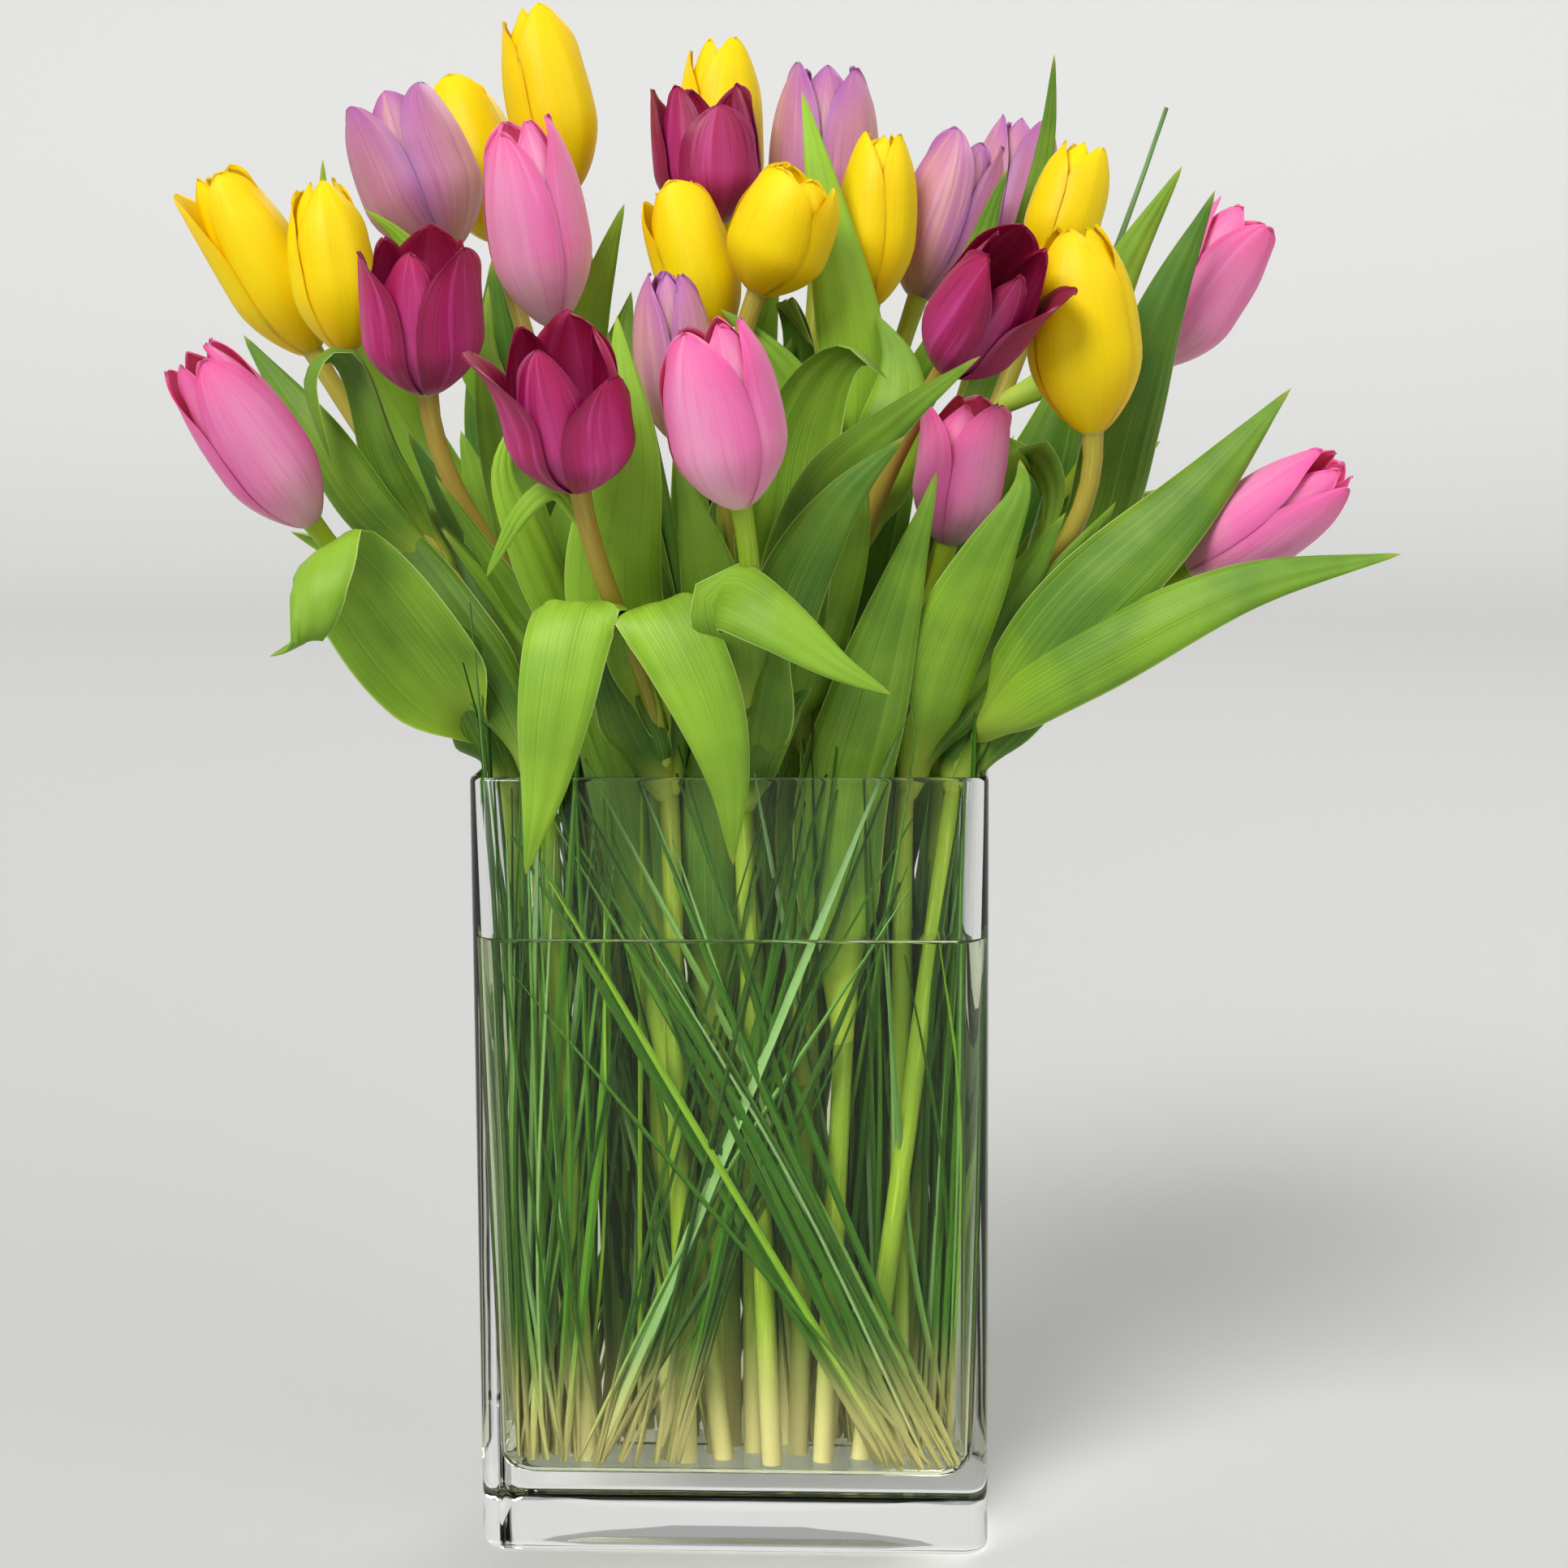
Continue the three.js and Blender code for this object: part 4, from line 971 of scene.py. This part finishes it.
def add_petal(shape, tulip, length, turn, outer, opening, rng):
    bulge = tulip.width / 2
    spread = SPREAD[tulip.shade] + (rng.uniform(-1, 3) if outer else rng.uniform(-10, -6))
    inset = 0 if outer else INNER_INSET
    blunt = BLUNT[tulip.shade] + rng.uniform(-0.15, 0.15)
    tuck = 0.4 if outer else 0.2  # one edge lies over its neighbour and the other under
    phases = [rng.uniform(0, math.tau) for _ in range(4)]
    lean = rng.uniform(-4, 4)
    flare = rng.uniform(-0.8, 0.9)
    length *= rng.uniform(0.97, 1.02)

    def place(u, v):
        share = (1 - math.cos(math.pi * v)) / 2
        upper = smooth(0.35, 1, share)
        body = math.sin(math.pi * min(share, 1))
        angle = math.radians(turn + u * petal_spread(share, spread, blunt) + lean * upper)
        radius = petal_radius(share, bulge, opening) - inset
        radius += tuck * u * smooth(0.05, 0.4, share)
        radius -= 0.06 * bulge * u * u * body
        radius -= RIB_DEPTH * math.exp(-((u / RIB_WIDTH) ** 2)) * body
        radius += 0.12 * math.sin(9 * u + phases[3]) * body
        radius += EDGE_WAVE * u**4 * upper * math.sin(2.2 * math.tau * share + phases[u > 0])
        radius += flare * smooth(0.8, 1, share)
        height = share * length
        height += 0.5 * upper * abs(u) * math.sin(3 * math.tau * u + phases[2])
        return around(angle, radius, height)

    tone = clamp(tulip.deep + rng.uniform(-0.35, 0.35))
    shape.sheet(place, PETAL_ACROSS, PETAL_ALONG, PETAL_THICK, tone)


def add_heart(shape, length):
    """The receptacle, the pistil with its three-lobed top, and six stamens round it."""
    top = 0.4 * length
    shape.rod(straight((0, 0, -0.4), (0, 0, 2.4)), lambda v: mix(PETAL_BASE - 0.2, 4.6, v), 12, 4, slot=1)
    shape.rod(straight((0, 0, 1), (0, 0, top)), lambda v: 2.2 + 0.5 * math.sin(4 * v), 9, 8, slot=1)
    for k in range(3):
        lobe = around(math.radians(120 * k), 3.2, top + 1.2)
        shape.rod(straight((0, 0, top - 0.4), lobe), lambda v: 1.5 - 0.5 * v, 6, 4, slot=1)
    for k in range(6):
        way = around(math.radians(60 * k + 30), 1)
        knee = way * 4.6 + UP * (0.2 * length)
        shape.rod(straight(way * 3 + UP, knee), lambda v: 0.7, 6, 4, slot=2)
        anther = straight(knee, way * 5.2 + UP * top)
        shape.rod(anther, lambda v: 0.5 + 1.0 * math.sin(math.pi * v) ** 0.5, 6, 8, slot=2)


def make_bloom(tulip):
    rng = random.Random("bloom " + tulip.name)
    base = Vector(tulip.base)
    axis = Vector(tulip.tip) - base
    length = axis.length
    shape = Shape()
    for k in range(3):
        turn = tulip.turn + 120 * k
        wild = WILD_OPEN if tulip.wild == k else 0
        reach = length * (SHORT_PETAL if tulip.short == k else 1)
        add_petal(shape, tulip, reach, turn, True, tulip.open + wild, rng)
        add_petal(shape, tulip, length, turn + 60, False, tulip.open * INNER_OPEN, rng)
    add_heart(shape, length)
    turned = UP.rotation_difference(axis.normalized()).to_matrix().to_4x4()
    bmesh.ops.transform(shape.bm, matrix=Matrix.Translation(base) @ turned, verts=shape.bm.verts)
    finishes = [PETALS[tulip.shade], HEART, STAMEN]
    shape.piece(f"{tulip.name}_bloom", finishes, f"bloom_{tulip.name}")


# ---------------- bear grass


def segment_gap(a, b, c, d):
    """The least distance between two straight pieces."""
    u, v, w = b - a, d - c, a - c
    even = u.dot(u) * v.dot(v) - u.dot(v) ** 2
    s = clamp((u.dot(v) * v.dot(w) - v.dot(v) * u.dot(w)) / even) if even > 1e-9 else 0
    t = clamp((u.dot(v) * s + v.dot(w)) / v.dot(v))
    s = clamp((u.dot(v) * t - u.dot(w)) / u.dot(u))
    return (a + u * s - c - v * t).length


def add_blade(shape, route, width, tone, rng, rows=14):
    """A narrow ribbed blade, folded a little along its middle, which tapers to its ends."""
    twist = rng.uniform(-50, 50)
    start = rng.uniform(-30, 30)

    def place(u, v):
        centre, way = route.at(v)
        back = squared(Vector(BACK), way)
        side = way.cross(back)
        turn = math.radians(start + twist * v)
        half = width / 2 * mix(0.8, 1, smooth(0, 0.2, v)) * (1 - 0.65 * smooth(0.65, 1, v))
        facing = side * math.cos(turn) + back * math.sin(turn)
        out = way.cross(facing)
        return centre + facing * (u * half) + out * (BLADE_FOLD * half * (1 - abs(u)))

    shape.sheet(place, 2, rows, BLADE_THICK, tone)


def make_grass(bunch, stems):
    rng = random.Random(bunch.seed)
    shape = Shape()
    if bunch.crossing:
        low, high = map(Vector, bunch.crossing)
        add_blade(shape, route_through([low, low.lerp(high, 0.5), high]), *CROSSING, rng)
    made = 0
    for _ in range(TRIES * bunch.blades):
        if made == bunch.blades:
            break
        x = clamp(bunch.root[0] + rng.uniform(-bunch.spread, bunch.spread), -FLOOR_X, FLOOR_X)
        y = clamp(bunch.root[1] + rng.uniform(-9, 9), -FLOOR_Y, FLOOR_Y)
        foot = Vector((x, y, FLOOR + rng.uniform(1.5, 4)))
        broad = made < bunch.broad
        over = bunch.over and made % OVER_EVERY == 0
        end = Vector([rng.uniform(*side) for side in (bunch.over if over else bunch.ends)])
        if broad:
            share = (made + 0.5) / bunch.broad
            foot.x = bunch.root[0] + bunch.spread * (2 * share - 1)
            end.x = mix(*bunch.ends[0], share)
        if any(segment_gap(foot, end, *stem) < STEM_RADIUS + 1 for stem in stems):
            continue
        middle = foot.lerp(end, rng.uniform(0.35, 0.65)) + Vector((rng.uniform(-7, 7), rng.uniform(-3, 3), 0))
        if over:
            middle = Vector((end.x, end.y, HEIGHT - 6))
        gap = wall_at(middle.z) + 2
        middle.x = clamp(middle.x, gap - HALF_WIDTH, HALF_WIDTH - gap)
        middle.y = clamp(middle.y, gap - HALF_DEPTH, HALF_DEPTH - gap)
        if broad:
            width, tone = BROAD
        else:
            width = bunch.width * rng.triangular(0.3, 1.15, 0.55)
            tone = 0.9 * rng.random() ** 1.4
        add_blade(shape, route_through([foot, middle, end]), width, tone, rng)
        made += 1
    shape.piece(bunch.name + "_blades", [BLADE], bunch.name)


def make_tall_blade():
    shape = Shape()
    route = route_through([Vector(point) for point in TALL_BLADE])
    add_blade(shape, route, *TALL, random.Random(3), rows=40)
    shape.piece("grass_tall_blade", [BLADE], "grass_tall")


# ---------------- camera, light and floor

SENSOR = 36
FOCAL = 4081  # the focal length in the photograph's pixels
PHOTO_WIDTH = 1932
EYE = (73, -1060, 380)
YAW, PITCH, ROLL = 3.12, 7.4, -0.35
FLOOR_DROP = 0.0004  # the floor stays this far below the vase, in metres
FLOOR_EDGE = 4  # where the floor starts to curve up, in metres
FLOOR_CURVE = 2
LAMPS = [  # broad and distant: the way each shines, how soft it is in degrees, and its power
    ("key", (0.42, 0.85, -0.8), 28, 2.9),
    ("fill", (-0.9, 0.7, -0.5), 50, 1.3),
    ("rim", (-0.3, -0.9, -0.7), 25, 1.0),
]


def make_camera():
    """The photograph's view: a long lens a metre away, a little above the middle of the flowers."""
    data = bpy.data.cameras.new("camera")
    data.sensor_width = SENSOR
    data.lens = SENSOR * FOCAL / PHOTO_WIDTH
    camera = add_object("camera", data)
    yaw = Matrix.Rotation(math.radians(YAW), 4, "Z")
    pitch = Matrix.Rotation(math.radians(90 - PITCH), 4, "X")
    roll = Matrix.Rotation(math.radians(ROLL), 4, "Z")
    camera.matrix_world = Matrix.Translation(Vector(EYE) * MM) @ yaw @ pitch @ roll
    bpy.context.scene.camera = camera


def make_floor():
    """A pale floor that curves up into a wall all round, far behind the camera too. It is in metres."""
    bowl = bmesh.new()
    profile = [(0, -FLOOR_DROP)]
    for turn in turns(90, 6):
        out = FLOOR_EDGE + FLOOR_CURVE * math.sin(turn)
        profile.append((out, FLOOR_CURVE - FLOOR_CURVE * math.cos(turn) - FLOOR_DROP))
    profile.append((6, 2.6))
    verts = [bowl.verts.new((x, 0, z)) for x, z in profile]
    edges = [bowl.edges.new(pair) for pair in zip(verts, verts[1:])]
    bmesh.ops.spin(
        bowl, geom=verts + edges, cent=(0, 0, 0), axis=UP, angle=math.tau, steps=72, use_merge=True
    )
    bmesh.ops.remove_doubles(bowl, verts=bowl.verts, dist=0.0001)
    bmesh.ops.recalc_face_normals(bowl, faces=bowl.faces)
    bmesh.ops.reverse_faces(bowl, faces=bowl.faces)
    mesh = bpy.data.meshes.new("floor")
    bowl.to_mesh(mesh)
    bowl.free()
    mesh.shade_smooth()
    mesh.materials.append(Finish("pale_floor", Roughness=0.7, Base_Color=(0.5, 0.5, 0.49, 1)).material)
    made = add_object("floor", mesh)


def make_light():
    for name, way, softness, power in LAMPS:
        data = bpy.data.lights.new(name, "SUN")
        data.angle = math.radians(softness)
        data.energy = power
        add_object(name, data).rotation_euler = Vector(way).to_track_quat("-Z", "Y").to_euler()
    world = bpy.data.worlds.new("studio")
    world.use_nodes = True
    sky = world.node_tree.nodes["Background"]
    sky.inputs["Color"].default_value = (1, 1, 1, 1)
    sky.inputs["Strength"].default_value = 0.38
    bpy.context.scene.world = world
    bpy.context.scene.view_settings.view_transform = "Standard"


make_camera()
make_floor()
make_light()
make_vase()
make_water()
stems = []
for tulip in TULIPS:
    make_stem(tulip)
    make_bloom(tulip)
    stems.append((foot_of(tulip), mouth_of(tulip)))
for bunch in GRASS:
    make_grass(bunch, stems)
make_tall_blade()
